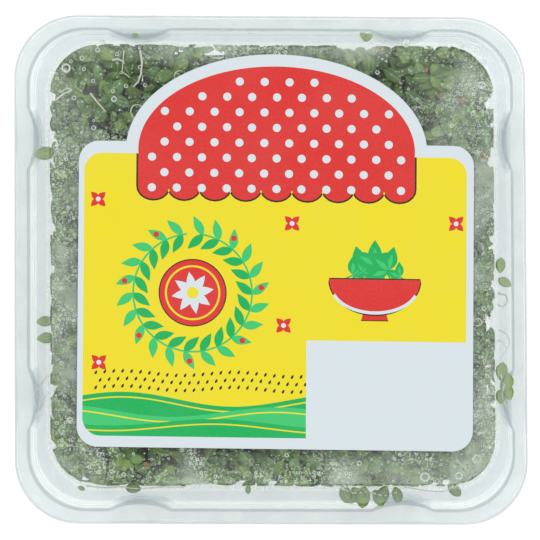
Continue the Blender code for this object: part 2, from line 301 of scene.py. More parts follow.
# A bead's radius and the inner edge of its pale ring, a painted glint, as shares of its cell and of its radius
BEAD_RADII = {"To Min": 0.16, "To Max": 0.44}
GLINT_RING_INSIDE = (0.42, 0.6)
BEAD_EDGE = 0.9


def moisture_group(name, dimensions):
    """Round beads on the inside of clear plastic, each a clear middle inside a pale ring, a painted glint for
    light reflected round the bead's edge.
    """
    group, given, result = new_group(name, {"Scale": 700.0, "Share": 0.5}, ("Ring", "Clear"))
    where = {"Vector": given["Vector"], "Scale": given["Scale"]}
    cells = add_node(group, "ShaderNodeTexVoronoi", where, voronoi_dimensions=dimensions).outputs
    cell = add_node(group, "ShaderNodeSeparateColor", {"Color": cells["Color"]}).outputs
    radius = add_node(group, "ShaderNodeMapRange", {"Value": cell["Red"], **BEAD_RADII}).outputs[0]
    away = math_node(group, "DIVIDE", cells["Distance"], radius)
    chosen = math_node(group, "LESS_THAN", cell["Green"], given["Share"])
    inside = times(group, remap(group, away, BEAD_EDGE, 1.0, 1.0, 0.0), chosen)
    # The pale ring is a painted glint, standing in for light reflected round the bead's edge
    fill(result["Ring"], times(group, inside, remap(group, away, *GLINT_RING_INSIDE)))
    fill(result["Clear"], inside)
    return group


# Fine and broad grain: the broad one's cells a metre, and how much each adds
BROAD_GRAIN = 60.0
FINE_SHARE, BROAD_SHARE = 0.6, 0.4


def grain_group():
    """Fine uneven grain for paper and roots: a mask and a bump height. Its Rise stretches it upwards."""
    group, given, result = new_group("grain", {"Scale": 900.0, "Rise": 1.0}, ("Grain", "Height"))
    stretch = vector_of(group, 1.0, 1.0, given["Rise"])
    stretched = vector_node(group, "MULTIPLY", given["Vector"], stretch)
    fine = noise(group, stretched, given["Scale"], 3.0, 0.6)
    broad = noise(group, given["Vector"], BROAD_GRAIN)
    grain = plus(group, times(group, fine, FINE_SHARE), times(group, broad, BROAD_SHARE))
    fill(result["Grain"], remap(group, grain, 0.3, 0.7))
    fill(result["Height"], fine)
    return group


LEVEL_BEADS = moisture_group("level_beads", "2D")
WALL_BEADS = moisture_group("wall_beads", "3D")
GRAIN = grain_group()


# Clear plastic

# Beads of moisture in two sizes: how many cells a metre, and the share of them that holds a bead
BEAD_LAYERS = ((880.0, 0.4), (1750.0, 0.8))
# Where mist gathers: an axis, and where along it in millimetres the mist starts and is full
MISTY_SIDES = (("X", 24, 50), ("X", -37, -49), ("Y", 49, 55), ("Y", -45, -56))
MIST_AT_SIDES, MIST_EVERYWHERE = 0.75, 0.12
MIST_IN_BEADS = 0.85
BEADS_AT_SIDES = 0.6
# Uneven patches of mist and beads: their noise, where it steps, and the strengths on both sides of the step
PATCH_NOISE, BEAD_NOISE = (48.0, 4.0, 0.6), (60.0, 4.0, 0.6)
PATCH_STEP, BEAD_STEP = (0.38, 0.62, 0.3, 1.2), (0.46, 0.58, 0.02, 1.0)
# Where the lid is nearly free of mist, as the photograph has it: pixels and reach in millimetres
CLEAR_PATCHES = ((118, 84, 14.0), (67, 66, 5.0), (420, 62, 12.0), (150, 470, 10.0), (300, 476, 8.0))
CLEAR_FADE, CLEAR_WOBBLE, CLEAR_MIST = 5.0, 8 * MM, 0.3
# Along the panel's edge the beads stay
EDGE_BEADS = (50.0 * MM, 53.0 * MM, 0.0, 0.9)
# How milky the plastic is at its rim and at its outline, how strong a painted shade line at its outer brim and
# a painted highlight at the panel's bend are, and how milky it is everywhere
RIM_HAZE, EDGE_HAZE, BRIM_SHADE, CREST_HIGHLIGHT, HAZE = 0.14, 0.02, 0.6, 0.3, 0.01
# The brim's middle height and half its thickness, how upright the panel's bend is and within how much
BRIM_Z, BEND_UPRIGHT = (FLANGE_Z - 0.235 * MM, 0.185 * MM), (0.62, 0.33)
CREST_Z = HEIGHT - 1.0 * MM
RIM_WALL_LOW, RIM_WALL_HIGH = FLANGE_Z + 0.5 * MM, TRAY_LEDGE_Z - 0.7 * MM
MOST_MIRROR = 0.06
PLASTIC_IOR = 1.2
# The haze colour also paints the brim's shade line and the mist colour the beads' glint rings; the bend's
# painted highlight takes whichever of the two its height has
HAZE_AND_SHADE_LINE_COLOUR, MIST_AND_GLINT_COLOUR = (0.52, 0.57, 0.60), (0.84, 0.91, 0.79)
WALL_TINT, LEVEL_TINT, RIM_WALL_TINT = (0.966, 0.976, 0.980), (0.953, 0.967, 0.970), (0.982, 0.988, 0.991)


def moisture(tree, place, flat, beads_group):
    """The mist and the beads' painted glint rings under a sheet, fainter where the photograph shows it clear.
    """
    layers = [use_group(tree, beads_group, {"Vector": place, "Scale": scale, "Share": share})
              for scale, share in BEAD_LAYERS]
    beads, clear = [most(tree, *(layer[key] for layer in layers)) for key in ("Ring", "Clear")]
    axes = parts_of(tree, place)
    to_side = most(tree, *(remap(tree, axes[axis], low * MM, high * MM) for axis, low, high in MISTY_SIDES))
    patches = noise(tree, place, *PATCH_NOISE)
    mist = plus(tree, times(tree, to_side, MIST_AT_SIDES), MIST_EVERYWHERE)
    mist = times(tree, mist, remap(tree, patches, *PATCH_STEP))
    mist = times(tree, mist, one_minus(tree, times(tree, clear, MIST_IN_BEADS)))
    bead_patches = remap(tree, noise(tree, place, *BEAD_NOISE), *BEAD_STEP)
    beads = times(tree, beads, most(tree, bead_patches, times(tree, to_side, BEADS_AT_SIDES)))
    if beads_group == LEVEL_BEADS:
        beads = times(tree, beads, flat)
    out = most(tree, *(math_node(tree, "ABSOLUTE", axes[axis]) for axis in "XY"))
    border = remap(tree, out, *EDGE_BEADS)
    for pixel_x, pixel_y, reach in CLEAR_PATCHES:
        middle = at_pixel(pixel_x, pixel_y, LID_UNDER_Z)
        away = add_node(tree, "ShaderNodeVectorMath", {0: place, 1: middle}, operation="DISTANCE")
        away = plus(tree, away.outputs["Value"], times(tree, patches, CLEAR_WOBBLE))
        wiped = remap(tree, away, reach * MM, (reach + CLEAR_FADE) * MM, CLEAR_MIST, 1.0)
        mist = times(tree, mist, wiped)
        beads = times(tree, beads, most(tree, wiped, border))
    return mist, beads


def milkiness_and_painted_lines(tree, place, upright, level):
    """How milky the plastic is: more on its rim and where it turns from the eye, with a painted shade line on
    its brim and a painted highlight along its upper bend.
    """
    height = parts_of(tree, place)["Z"]
    rim = times(tree, math_node(tree, "LESS_THAN", height, LAND_Z + 0.4 * MM), RIM_HAZE, level)
    streaks = noise(tree, vector_node(tree, "MULTIPLY", place, (1.0, 1.0, 0.3)), 110.0, 3.0)
    haze = times(tree, plus(tree, rim, HAZE), remap(tree, streaks, 0.3, 0.7, 0.9, 1.1))
    edge = remap(tree, facing(tree), 0.6, 1.0, 0.0, EDGE_HAZE)
    # A painted shade: a grey line along the outer brim, where the sheet turns down
    brim = math_node(tree, "COMPARE", height, *BRIM_Z)
    bend = math_node(tree, "COMPARE", upright, *BEND_UPRIGHT)
    # A painted highlight: a pale line along the panel's upper bend
    crest = times(tree, bend, math_node(tree, "GREATER_THAN", height, CREST_Z))
    return plus(tree, haze, edge, times(tree, brim, BRIM_SHADE), times(tree, crest, CREST_HIGHLIGHT))


def clear_plastic(name, beads_group, mist_low, mist_high, mist_amount, bead_glint_amount):
    """Clear pressed plastic, a little milky on its rim, misted on the inside between two heights."""
    material, tree, place = new_material(name)
    height = parts_of(tree, place)["Z"]
    misted = times(tree, math_node(tree, "GREATER_THAN", height, mist_low),
                   math_node(tree, "LESS_THAN", height, mist_high))
    upright = parts_of(tree, add_node(tree, "ShaderNodeNewGeometry").outputs["Normal"])["Z"]
    flat = remap(tree, upright, 0.5, 0.95)
    mist, beads = moisture(tree, place, flat, beads_group)
    # The beads' pale rings add painted glints to the mist
    wet_and_glints = times(tree, most(tree, times(tree, mist, mist_amount), times(tree, beads, bead_glint_amount)), misted)
    middle, half = 0.5 * (RIM_WALL_LOW + RIM_WALL_HIGH), 0.5 * (RIM_WALL_HIGH - RIM_WALL_LOW)
    rim_wall = math_node(tree, "COMPARE", height, middle, half)
    level = times(tree, flat, one_minus(tree, rim_wall))
    cover = math_node(tree, "MAXIMUM", wet_and_glints, milkiness_and_painted_lines(tree, place, upright, level), clamp=True)
    tint = mixed(tree, rim_wall, mixed(tree, level, WALL_TINT, LEVEL_TINT), RIM_WALL_TINT)
    body = shader(tree, "Principled", {
        "Base Color": mixed(tree, times(tree, misted, 0.95), HAZE_AND_SHADE_LINE_COLOUR, MIST_AND_GLINT_COLOUR),
        "Roughness": remap(tree, noise(tree, place, 260.0, 4.0), 0.3, 0.7, 0.12, 0.3),
    })
    through = mixed_shaders(tree, cover, shader(tree, "Transparent", {"Color": tint}), body)
    ripple = bump(tree, noise(tree, place, 45.0, 1.0), 0.15 * MM, 0.2)
    gloss = shader(tree, "Glossy", {"Roughness": 0.08, "Normal": ripple})
    mirror = add_node(tree, "ShaderNodeFresnel", {"IOR": PLASTIC_IOR}).outputs[0]
    mirror = math_node(tree, "MINIMUM", mirror, MOST_MIRROR)
    return finished(material, mixed_shaders(tree, mirror, through, gloss))


# The other materials

WATER_TINT = (0.97, 0.98, 0.98, 1)
# Colours of a drop's painted highlight: the pale ring round its edge, standing in for light reflected inside
# it
GLINTS = ((0.82, 0.88, 0.80), (1.0, 1.0, 0.97))
# Each leaf's green lies between a dark and a light one, and each of those between two by its hue
DARK_GREENS = ((0.058, 0.132, 0.020), (0.078, 0.160, 0.060))
LIGHT_GREENS = ((0.300, 0.430, 0.080), (0.215, 0.360, 0.150))
RIB_GREEN = (0.42, 0.56, 0.22)
STEM_FOOT, STEM_TOP, STEM_STREAK = (0.74, 0.72, 0.56), (0.42, 0.52, 0.22), (0.86, 0.86, 0.74)
STEM_GREENS_Z = (22 * MM, 44 * MM)
HULL_COLOURS = ((0.17, 0.055, 0.022), (0.42, 0.19, 0.07))


def water():
    """Clear water that lets lamps light what is under it, with a painted highlight round its edge: a pale ring
    standing in for light reflected inside the drop.
    """
    material, tree, place = new_material("water")
    ripple = bump(tree, noise(tree, place, 700.0, 1.0), 0.02 * MM, 0.2)
    glass = shader(tree, "Glass", {"Color": WATER_TINT, "Roughness": 0.0, "IOR": 1.33, "Normal": ripple})
    glint = mixed(tree, noise(tree, place, 500.0, 1.0), *GLINTS)
    painted_rim_glint = shader(tree, "Principled", {"Base Color": glint, "Roughness": 0.2})
    # The pale ring round the edge is a painted highlight
    drop = mixed_shaders(tree, remap(tree, facing(tree), 0.12, 0.26, 0.0, 0.92), glass, painted_rim_glint)
    lamp_ray = add_node(tree, "ShaderNodeLightPath").outputs["Is Shadow Ray"]
    return finished(material, mixed_shaders(tree, lamp_ray, drop, shader(tree, "Transparent")))


def seed_leaf():
    """Moist green seed leaf, each plant a little different, with a pale midrib."""
    material, tree, place = new_material("seed_leaf")
    mottle = noise(tree, place, 420.0, 3.0)
    depth = plus(tree, times(tree, attribute(tree, "shade"), 0.8), times(tree, mottle, 0.25))
    hue = attribute(tree, "hue")
    green = mixed(tree, depth, mixed(tree, hue, *DARK_GREENS), mixed(tree, hue, *LIGHT_GREENS))
    across = parts_of(tree, add_node(tree, "ShaderNodeUVMap", uv_map="leaf").outputs[0])["Y"]
    from_rib = math_node(tree, "ABSOLUTE", math_node(tree, "SUBTRACT", across, 0.5))
    body = shader(tree, "Principled", {
        "Base Color": mixed(tree, remap(tree, from_rib, 0.0, 0.09, 0.45, 0.0), green, RIB_GREEN),
        "Roughness": remap(tree, mottle, 0.3, 0.7, 0.32, 0.5),
        "Specular IOR Level": 0.25,
        "Normal": bump(tree, noise(tree, place, 1500.0), 0.06 * MM, 0.5),
    })
    return finished(material, body)


def stem():
    """A watery stem, cream at its foot and pale green under its leaves."""
    material, tree, place = new_material("stem")
    rise = remap(tree, parts_of(tree, place)["Z"], *STEM_GREENS_Z)
    rise = math_node(tree, "MULTIPLY", rise, plus(tree, attribute(tree, "shade"), 0.4), clamp=True)
    streak = noise(tree, vector_node(tree, "MULTIPLY", place, (1.0, 1.0, 0.12)), 1800.0)
    colour = mixed(tree, rise, STEM_FOOT, STEM_TOP)
    body = shader(tree, "Principled", {
        "Base Color": mixed(tree, remap(tree, streak, 0.35, 0.7, 0.0, 0.35), colour, STEM_STREAK),
        "Roughness": remap(tree, streak, 0.3, 0.7, 0.25, 0.45),
    })
    return finished(material, body)


def root_felt(name, pale, dark):
    """Cream root felt or thread, browner in its hollows."""
    material, tree, place = new_material(name)
    grain = use_group(tree, GRAIN, {"Vector": place, "Scale": 700.0, "Rise": 2.5})
    body = shader(tree, "Principled", {
        "Base Color": mixed(tree, grain["Grain"], dark, pale),
        "Roughness": remap(tree, grain["Height"], 0.3, 0.7, 0.5, 0.75),
        "Normal": bump(tree, grain["Height"], 0.3 * MM, 0.6),
    })
    return finished(material, body)


def seed_hull():
    """A dry reddish brown seed coat, mottled."""
    material, tree, place = new_material("seed_hull")
    mottle = noise(tree, place, 900.0, 3.0)
    body = shader(tree, "Principled", {
        "Base Color": mixed(tree, remap(tree, mottle, 0.35, 0.65), *HULL_COLOURS),
        "Roughness": remap(tree, mottle, 0.3, 0.7, 0.35, 0.6),
        "Normal": bump(tree, mottle, 0.08 * MM, 0.5),
    })
    return finished(material, body)


def printed_paper(name, colour):
    """Coated label paper under one ink, with a faint unevenness and a soft gloss."""
    material, tree, place = new_material(name)
    grain = use_group(tree, GRAIN, {"Vector": place, "Scale": 1600.0})["Grain"]
    thin = tuple(0.96 * part + 0.025 for part in colour)
    body = shader(tree, "Principled", {
        "Base Color": mixed(tree, grain, colour, thin),
        "Roughness": remap(tree, grain, 0.2, 0.8, 0.36, 0.5),
        "Specular IOR Level": 0.12,
        "Normal": bump(tree, noise(tree, place, 55.0), 0.15 * MM, 0.25),
    })
    return finished(material, body)


# Mesh helpers


def link_mesh(name, mesh, materials=()):
    obj = bpy.data.objects.new(name, mesh)
    scene.collection.objects.link(obj)
    for material in materials:
        mesh.materials.append(material)
    return obj


def mesh_from(name, bm):
    mesh = bpy.data.meshes.new(name)
    bm.to_mesh(mesh)
    bm.free()
    return mesh


def plain_copy(obj, name):
    """A plain mesh object of what an object's modifiers make, in its place."""
    graph = bpy.context.evaluated_depsgraph_get()
    mesh = bpy.data.meshes.new_from_object(obj.evaluated_get(graph))
    mesh.name = name
    bpy.data.objects.remove(obj)
    return link_mesh(name, mesh)


def bridge(bm, inner, outer):
    """Four-sided faces between two rings of as many points."""
    for i in range(len(inner)):
        after = (i + 1) % len(inner)
        bm.faces.new((inner[i], outer[i], outer[after], inner[after]))


# The tray and the lid

SHARP_ANGLE = math.radians(35)


def side_stations(lug_half):
    """Places along a straight side, as shares of its half length, and how far the lug is pressed in there."""
    stations = []
    for centre in (-LUG_OFFSET, LUG_OFFSET):
        for step in range(LUG_STEPS + 1):
            angle = math.pi * step / LUG_STEPS
            along = centre - lug_half * math.cos(angle)
            stations.append((along / RIM_STRAIGHT, math.sin(angle) ** 2))
    return stations


def rounded_square(half, corner, z, lug_depth, stations):
    """Points round a rounded square, counterclockwise from above, with its lugs pressed in."""
    points = []
    straight = half - corner
    for quarter in range(4):
        turn = Matrix.Rotation(math.pi / 2 * quarter, 3, "Z")
        for share, pressed in stations:
            points.append(turn @ Vector((half - pressed * lug_depth, share * straight, z)))
        for step in range(CORNER_STEPS + 1):
            angle = math.pi / 2 * step / CORNER_STEPS
            reach = Vector((math.cos(angle), math.sin(angle), 0)) * corner
            points.append(turn @ (Vector((straight, straight, z)) + reach))
    return points


def filleted(bends):
    """The bends of a profile, each rounded by a short curve."""
    bends = [np.array(bend) for bend in bends]
    rings = [bends[0]]
    for before, bend, after in zip(bends, bends[1:], bends[2:]):
        ends, guards = [], []
        for other in (before, after):
            run = math.hypot(other[0] - bend[0], other[2] - bend[2])
            share = min(FILLET / run, 0.4)
            ends.append(bend + (other - bend) * share)
            guards.append(bend + (other - bend) * share * 1.2)
        rings.append(guards[0])
        for step in range(FILLET_STEPS + 1):
            t = step / FILLET_STEPS
            rings.append(ends[0] * (1 - t) ** 2 + bend * 2 * t * (1 - t) + ends[1] * t**2)
        rings.append(guards[1])
    return rings + [bends[-1]]


def pressed_sheet(name, bends, lug_half, material):
    """A thermoformed sheet: a lofted surface that Solidify gives its wall, on the under side."""
    stations = side_stations(lug_half)
    bm = bmesh.new()
    loops = []
    for ring in filleted(bends):
        loops.append([bm.verts.new(point) for point in rounded_square(*ring, stations)])
    for inner, outer in zip(loops, loops[1:]):
        bridge(bm, inner, outer)
    bm.faces.new(loops[0])
    obj = link_mesh(name, mesh_from(name, bm))
    solidify = obj.modifiers.new("Wall", "SOLIDIFY")
    solidify.thickness = WALL
    solidify.offset = -1.0
    solidify.use_even_offset = True
    sheet = plain_copy(obj, name)
    sheet.data.materials.append(material)
    sheet.data.shade_smooth()
    sheet.data.set_sharp_from_angle(angle=SHARP_ANGLE)
    return sheet


# The label, in its own millimetres: x to the right and y up from the middle of its body

LABEL_THICK = 0.14 * MM
LABEL_BODY_CENTRE = Vector((0.5, -8.4)) * MM
LABEL_TURN = math.radians(-0.6)
LABEL_HALF_WIDTH, LABEL_HALF_BODY = 49.95, 38.9
LABEL_CORNER = 5.2
ARCH_HALF, ARCH_RISE, ARCH_DROP = 38.1, 22.7, 2.0
PRINT_MARGINS = {"left": 1.4, "right": 1.8, "top": 3.1, "bottom": 2.8}
PRICE_PANEL_LEFT, PRICE_PANEL_TOP = 7.8, -11.2
# The dome: its scallops, where they hang, and its dots as rows, half a row's places, steps and radius
SCALLOPS, HEM = 9, 27.5
DOT_ROWS, DOT_PLACES, DOT_STEP, DOT_ROW_STEP, DOT_RADIUS = 8, 8, 6.3, 3.9, 1.05
# The medallion inside the wreath: its rings from the outermost, and its flower
WREATH_CENTRE, WREATH_RADIUS = (-21.0, 0.5), 15.0
WREATH_LEAF, BERRY_OUT, BERRY_RADIUS = (5.4, 2.3), 2.4, 0.75
MEDALLION = (("black", 8.6), ("red", 8.3), ("yellow", 7.0), ("red", 6.5))
PETALS, EYE_RADIUS = 8, 1.5
BOWL_CENTRE, BOWL_RADIUS = (25.0, 4.5), 11.5
FLOWERS, FLOWER_REACH = ((4.0, 18.5), (45.5, 19.0), (2.0, -7.5), (-45.0, 24.0), (-44.5, -17.5)), 2.6
# Printed seeds: rows, seeds in each, where the first one is, steps between them, and a seed's heading and size
SEED_ROWS, SEEDS_A_ROW, SEEDS_AT, SEED_STEPS = 3, 24, (-45.5, -20.6), (2.25, 1.9)
PRINTED_SEED = (62, 1.25, 0.62)
# Field lines: ink, height, how far they swing and where the swing starts
FIELD_LINES = (("green", 9.5, 1.7, 0.4), ("leaf", 6.4, 1.4, 2.2), ("green", 3.6, 1.0, 4.0))
FIELD_STEPS = 40


def arc_points(centre, radius_x, radius_y, start_deg, end_deg, steps):
    points = []
    for step in range(steps + 1):
        angle = math.radians(start_deg + (end_deg - start_deg) * step / steps)
        points.append((centre[0] + radius_x * math.cos(angle), centre[1] + radius_y * math.sin(angle)))
    return points


def polar(centre, reach, heading_deg):
    """The point at a distance from a centre, in a direction."""
    heading = math.radians(heading_deg)
    return (centre[0] + reach * math.cos(heading), centre[1] + reach * math.sin(heading))


def label_outline(left=0.0, right=0.0, top=0.0, bottom=0.0):
    """The label's edge drawn in by a margin on each side, counterclockwise from its lower right corner."""
    high_x, low_x = LABEL_HALF_WIDTH - right, left - LABEL_HALF_WIDTH
    high_y, low_y = LABEL_HALF_BODY - top, bottom - LABEL_HALF_BODY
    corner = LABEL_CORNER - 0.5 * left
    arch = (0.0, LABEL_HALF_BODY - ARCH_DROP)
    half, rise = ARCH_HALF - top, ARCH_RISE + ARCH_DROP - top
    foot = math.degrees(math.asin(max((high_y - arch[1]) / rise, -0.5)))
    outline = arc_points((high_x - corner, low_y + corner), corner, corner, -90, 0, 10)
    outline += arc_points((high_x - corner, high_y - corner), corner, corner, 0, 90, 10)
    outline += arc_points(arch, half, rise, foot, 180 - foot, 64)
    outline += arc_points((low_x + corner, high_y - corner), corner, corner, 90, 180, 10)
    outline += arc_points((low_x + corner, low_y + corner), corner, corner, 180, 270, 10)
    return outline


def disc(centre, radius, steps=28):
    return arc_points(centre, radius, radius, 0, 360 - 360 / steps, steps - 1)


def leaf_shape(base, heading_deg, length, width, steps=9):
    """A pointed leaf from its base, in the direction of its heading."""
    heading = math.radians(heading_deg)
    along, across = (math.cos(heading), math.sin(heading)), (-math.sin(heading), math.cos(heading))
    sides = ([], [])
    for step in range(1, steps):
        t = step / steps
        half = 0.5 * width * math.sin(math.pi * t**0.8)
        for side, way in zip(sides, (-1, 1)):
            side.append(tuple(base[i] + along[i] * length * t + across[i] * half * way for i in (0, 1)))
    tip = tuple(base[i] + along[i] * length for i in (0, 1))
    return [tuple(base)] + sides[0] + [tip] + sides[1][::-1]


def ribbon(points, width):
    """A line of even width along points."""
    left, right = [], []
    for i, point in enumerate(points):
        before, after = points[max(i - 1, 0)], points[min(i + 1, len(points) - 1)]
        run = math.hypot(after[0] - before[0], after[1] - before[1])
        across = ((before[1] - after[1]) / run, (after[0] - before[0]) / run)
        left.append((point[0] + across[0] * width / 2, point[1] + across[1] * width / 2))
        right.append((point[0] - across[0] * width / 2, point[1] - across[1] * width / 2))
    return right + left[::-1]


def grown_outline(outline, by):
    """An outline moved outwards by a distance."""
    grown = []
    for i, point in enumerate(outline):
        before, after = outline[i - 1], outline[(i + 1) % len(outline)]
        run = math.hypot(after[0] - before[0], after[1] - before[1])
        out = ((after[1] - before[1]) / run, (before[0] - after[0]) / run)
        grown.append((point[0] + out[0] * by, point[1] + out[1] * by))
    return grown


def dome_shapes():
    """The arched field: red with white dots, a scalloped lower edge and a black line round it."""
    arch = (0.0, LABEL_HALF_BODY - ARCH_DROP)
    half, rise = ARCH_HALF - PRINT_MARGINS["top"], ARCH_RISE + ARCH_DROP - PRINT_MARGINS["top"]
    outline = arc_points(arch, half, rise, 0, 180, 72)
    width = 2 * half / SCALLOPS
    for i in range(SCALLOPS):
        centre = (-half + (i + 0.5) * width, HEM)
        outline += arc_points(centre, width / 2, width * 0.42, 180, 360, 10)[1 if i else 0:]
    shapes = [("black", grown_outline(outline, 0.45)), ("red", outline)]
    for row in range(DOT_ROWS):
        for column in range(-DOT_PLACES, DOT_PLACES + 1):
            x = (column + 0.5 * (row % 2)) * DOT_STEP
            y = HEM - 0.3 + row * DOT_ROW_STEP
            share = math.hypot(x / (half - 2.0), max(y - arch[1], 0) / (rise - 2.0))
            if share < 1 and abs(x) < half - 1.6:
                shapes.append(("white", disc((x, y), DOT_RADIUS, 16)))
    return shapes


def wreath_shapes(centre, radius, leaves=22):
    """A ring of leaves, two to a place, with red berries between them."""
    shapes = [("leaf", ribbon(arc_points(centre, radius, radius, 96, 444, 60), 0.5))]
    for i in range(leaves):
        angle = 100 + 340 * i / (leaves - 1)
        at = polar(centre, radius, angle)
        for side, colour in ((52, "green"), (-52, "leaf")):
            shapes.append((colour, leaf_shape(at, angle + 90 + side, *WREATH_LEAF)))
        if i % 3 == 1:
            shapes.append(("red", disc(polar(centre, radius + BERRY_OUT, angle + 6), BERRY_RADIUS, 14)))
    return shapes


def trefoil(base, heading_deg, size):
    """Three leaflets on a short stalk."""
    tip = polar(base, size * 0.5, heading_deg)
    shapes = [("green", ribbon([base, tip], 0.4))]
    for turn in (-62, 62, 0):
        shapes.append(("green", leaf_shape(tip, heading_deg + turn, size * 0.72, size * 0.4)))
        shapes.append(("leaf", leaf_shape(tip, heading_deg + turn, size * 0.5, size * 0.14)))
    return shapes


def flower(centre, reach):
    """Four red petals round a white eye."""
    shapes = [("red", leaf_shape(centre, heading, reach, reach * 0.62)) for heading in (45, 135, 225, 315)]
    return shapes + [("white", disc(centre, reach * 0.24, 14))]


def bowl_shapes(centre, radius):
    """A red bowl full of leaves, on a foot, with a white band."""
    shapes = []
    for i in range(9):
        heading = 26 + 16 * i
        base = (centre[0] + (i - 4) * radius * 0.19, centre[1] - 0.5)
        shapes += trefoil(base, heading, radius * (0.62 + 0.16 * math.sin(i * 2.1)))
    rim = arc_points(centre, radius, radius * 0.78, 180, 360, 32)
    foot_y = centre[1] - radius * 0.78
    foot = [(centre[0] + x, foot_y + y) for x, y in ((-3.4, -1.4), (3.4, -1.4), (2.6, 0.8), (-2.6, 0.8))]
    shapes += [("black", grown_outline(foot, 0.25)), ("red", foot)]
    shapes += [("black", grown_outline(rim, 0.3)), ("red", rim)]
    band = arc_points((centre[0], centre[1] - 1.6), radius * 0.955, radius * 0.6, 200, 340, 24)
    shapes.append(("white", ribbon(band, 0.8)))
    return shapes


def field_shapes():
    """Rows of green field along the foot of the label, left of the blank panel."""
    left = PRINT_MARGINS["left"] - LABEL_HALF_WIDTH
    foot = PRINT_MARGINS["bottom"] - LABEL_HALF_BODY
    right = PRICE_PANEL_LEFT + 3.0
    shapes = []
    for colour, height, swing, phase in FIELD_LINES:
        top = []
        for k in range(FIELD_STEPS + 1):
            wave = swing * math.sin(phase + k * 0.17)
            top.append((left + (right - left) * k / FIELD_STEPS, foot + height + wave))
        shapes.append((colour, [(right, foot - 1.0), *top[::-1], (left, foot - 1.0)]))
        shapes.append(("yellow", ribbon([(x, y - 1.3) for x, y in top], 0.35)))
    return shapes


def label_shapes():
    """Every printed shape, the lowest first: its ink and its outline."""
    ground = label_outline(**PRINT_MARGINS)
    shapes = [("yellow", ground)]
    shapes += field_shapes()
    shapes += dome_shapes()
    shapes += wreath_shapes(WREATH_CENTRE, WREATH_RADIUS)
    shapes += [(ink, disc(WREATH_CENTRE, radius, 48)) for ink, radius in MEDALLION]
    for petal in range(PETALS):
        shapes.append(("white", leaf_shape(WREATH_CENTRE, 10 + 45 * petal, *WREATH_LEAF, 12)))
    shapes.append(("yellow", disc(WREATH_CENTRE, EYE_RADIUS, 24)))
    shapes += bowl_shapes(BOWL_CENTRE, BOWL_RADIUS)
    for place in FLOWERS:
        shapes += flower(place, FLOWER_REACH)
    for row in range(SEED_ROWS):
        for column in range(SEEDS_A_ROW):
            x = SEEDS_AT[0] + column * SEED_STEPS[0] + row % 2 * 1.1
            y = SEEDS_AT[1] - row * SEED_STEPS[1] + 0.5 * math.sin(column * 0.5)
            shapes.append(("black", leaf_shape((x, y), *PRINTED_SEED, 6)))
    left, right = PRICE_PANEL_LEFT, LABEL_HALF_WIDTH
    foot, top = -LABEL_HALF_BODY, PRICE_PANEL_TOP
    return shapes + [("white", [(left, foot), (right, foot), (right, top), (left, top)])]


def inside_outline(points, outline):
    """Which of some points lie inside an outline, by counting its edges to the right of each."""
    corners = np.array(outline)
    after = np.roll(corners, -1, axis=0)
    x, y = points[:, 0][:, None], points[:, 1][:, None]
    spans = (corners[:, 1] > y) != (after[:, 1] > y)
    rise = after[:, 1] - corners[:, 1]
    rise = np.where(np.abs(rise) < 1e-12, 1e-12, rise)
    crossing = corners[:, 0] + (y - corners[:, 1]) * (after[:, 0] - corners[:, 0]) / rise
    return ((spans & (x < crossing)).sum(axis=1) % 2) == 1


def make_label(inks):
    """The label: one sheet whose upper face is divided along the print, a material for each ink."""
    edge = label_outline()
    shapes = label_shapes()
    points, segments = [], []
    for outline in [edge] + [outline for ink, outline in shapes]:
        start = len(points)
        points += [Vector(point) for point in outline]
        segments += [(start + i, start + (i + 1) % len(outline)) for i in range(len(outline))]
    verts, edges, faces = delaunay_2d_cdt(points, segments, [], 0, 1e-5)[:3]
    corners = np.array([tuple(vert) for vert in verts])
    centres = np.array([corners[list(face)].mean(axis=0) for face in faces])
    on_sheet = inside_outline(centres, edge)
    ink_names = list(inks)
    ink_of = np.full(len(faces), ink_names.index("white"))
    for ink, outline in shapes:
        ink_of[inside_outline(centres, outline)] = ink_names.index(ink)
    ink_of[~inside_outline(centres, label_outline(**PRINT_MARGINS))] = ink_names.index("white")
    bm = bmesh.new()
    place = Matrix.Translation((*LABEL_BODY_CENTRE, HEIGHT + 0.03 * MM)) @ Matrix.Rotation(LABEL_TURN, 4, "Z")
    made = [bm.verts.new(place @ Vector((*(vert * MM), 0))) for vert in verts]
    for face, ink, kept in zip(faces, ink_of, on_sheet):
        if kept:
            bm.faces.new([made[i] for i in face]).material_index = int(ink)
    bmesh.ops.delete(bm, geom=[vert for vert in bm.verts if not vert.link_faces], context="VERTS")
    bmesh.ops.recalc_face_normals(bm, faces=bm.faces)
    if sum(face.normal.z for face in bm.faces) > 0:
        bmesh.ops.reverse_faces(bm, faces=bm.faces)
    rim = [edge for edge in bm.edges if edge.is_boundary]
    top = bmesh.ops.duplicate(bm, geom=bm.faces[:])
    lifted = [item for item in top["geom"] if isinstance(item, bmesh.types.BMVert)]
    bmesh.ops.translate(bm, verts=lifted, vec=(0, 0, LABEL_THICK))
    bmesh.ops.reverse_faces(bm, faces=[item for item in top["geom"] if isinstance(item, bmesh.types.BMFace)])
    for face in bm.faces:
        if face.normal.z < 0 and face.calc_center_median().z < HEIGHT + 0.05 * MM:
            face.material_index = ink_names.index("white")
    twins = top["edge_map"]
    bmesh.ops.bridge_loops(bm, edges=rim + [twins[edge] for edge in rim])
    return link_mesh("printed_label", mesh_from("printed_label", bm), [inks[name] for name in ink_names])


# Geometry Nodes


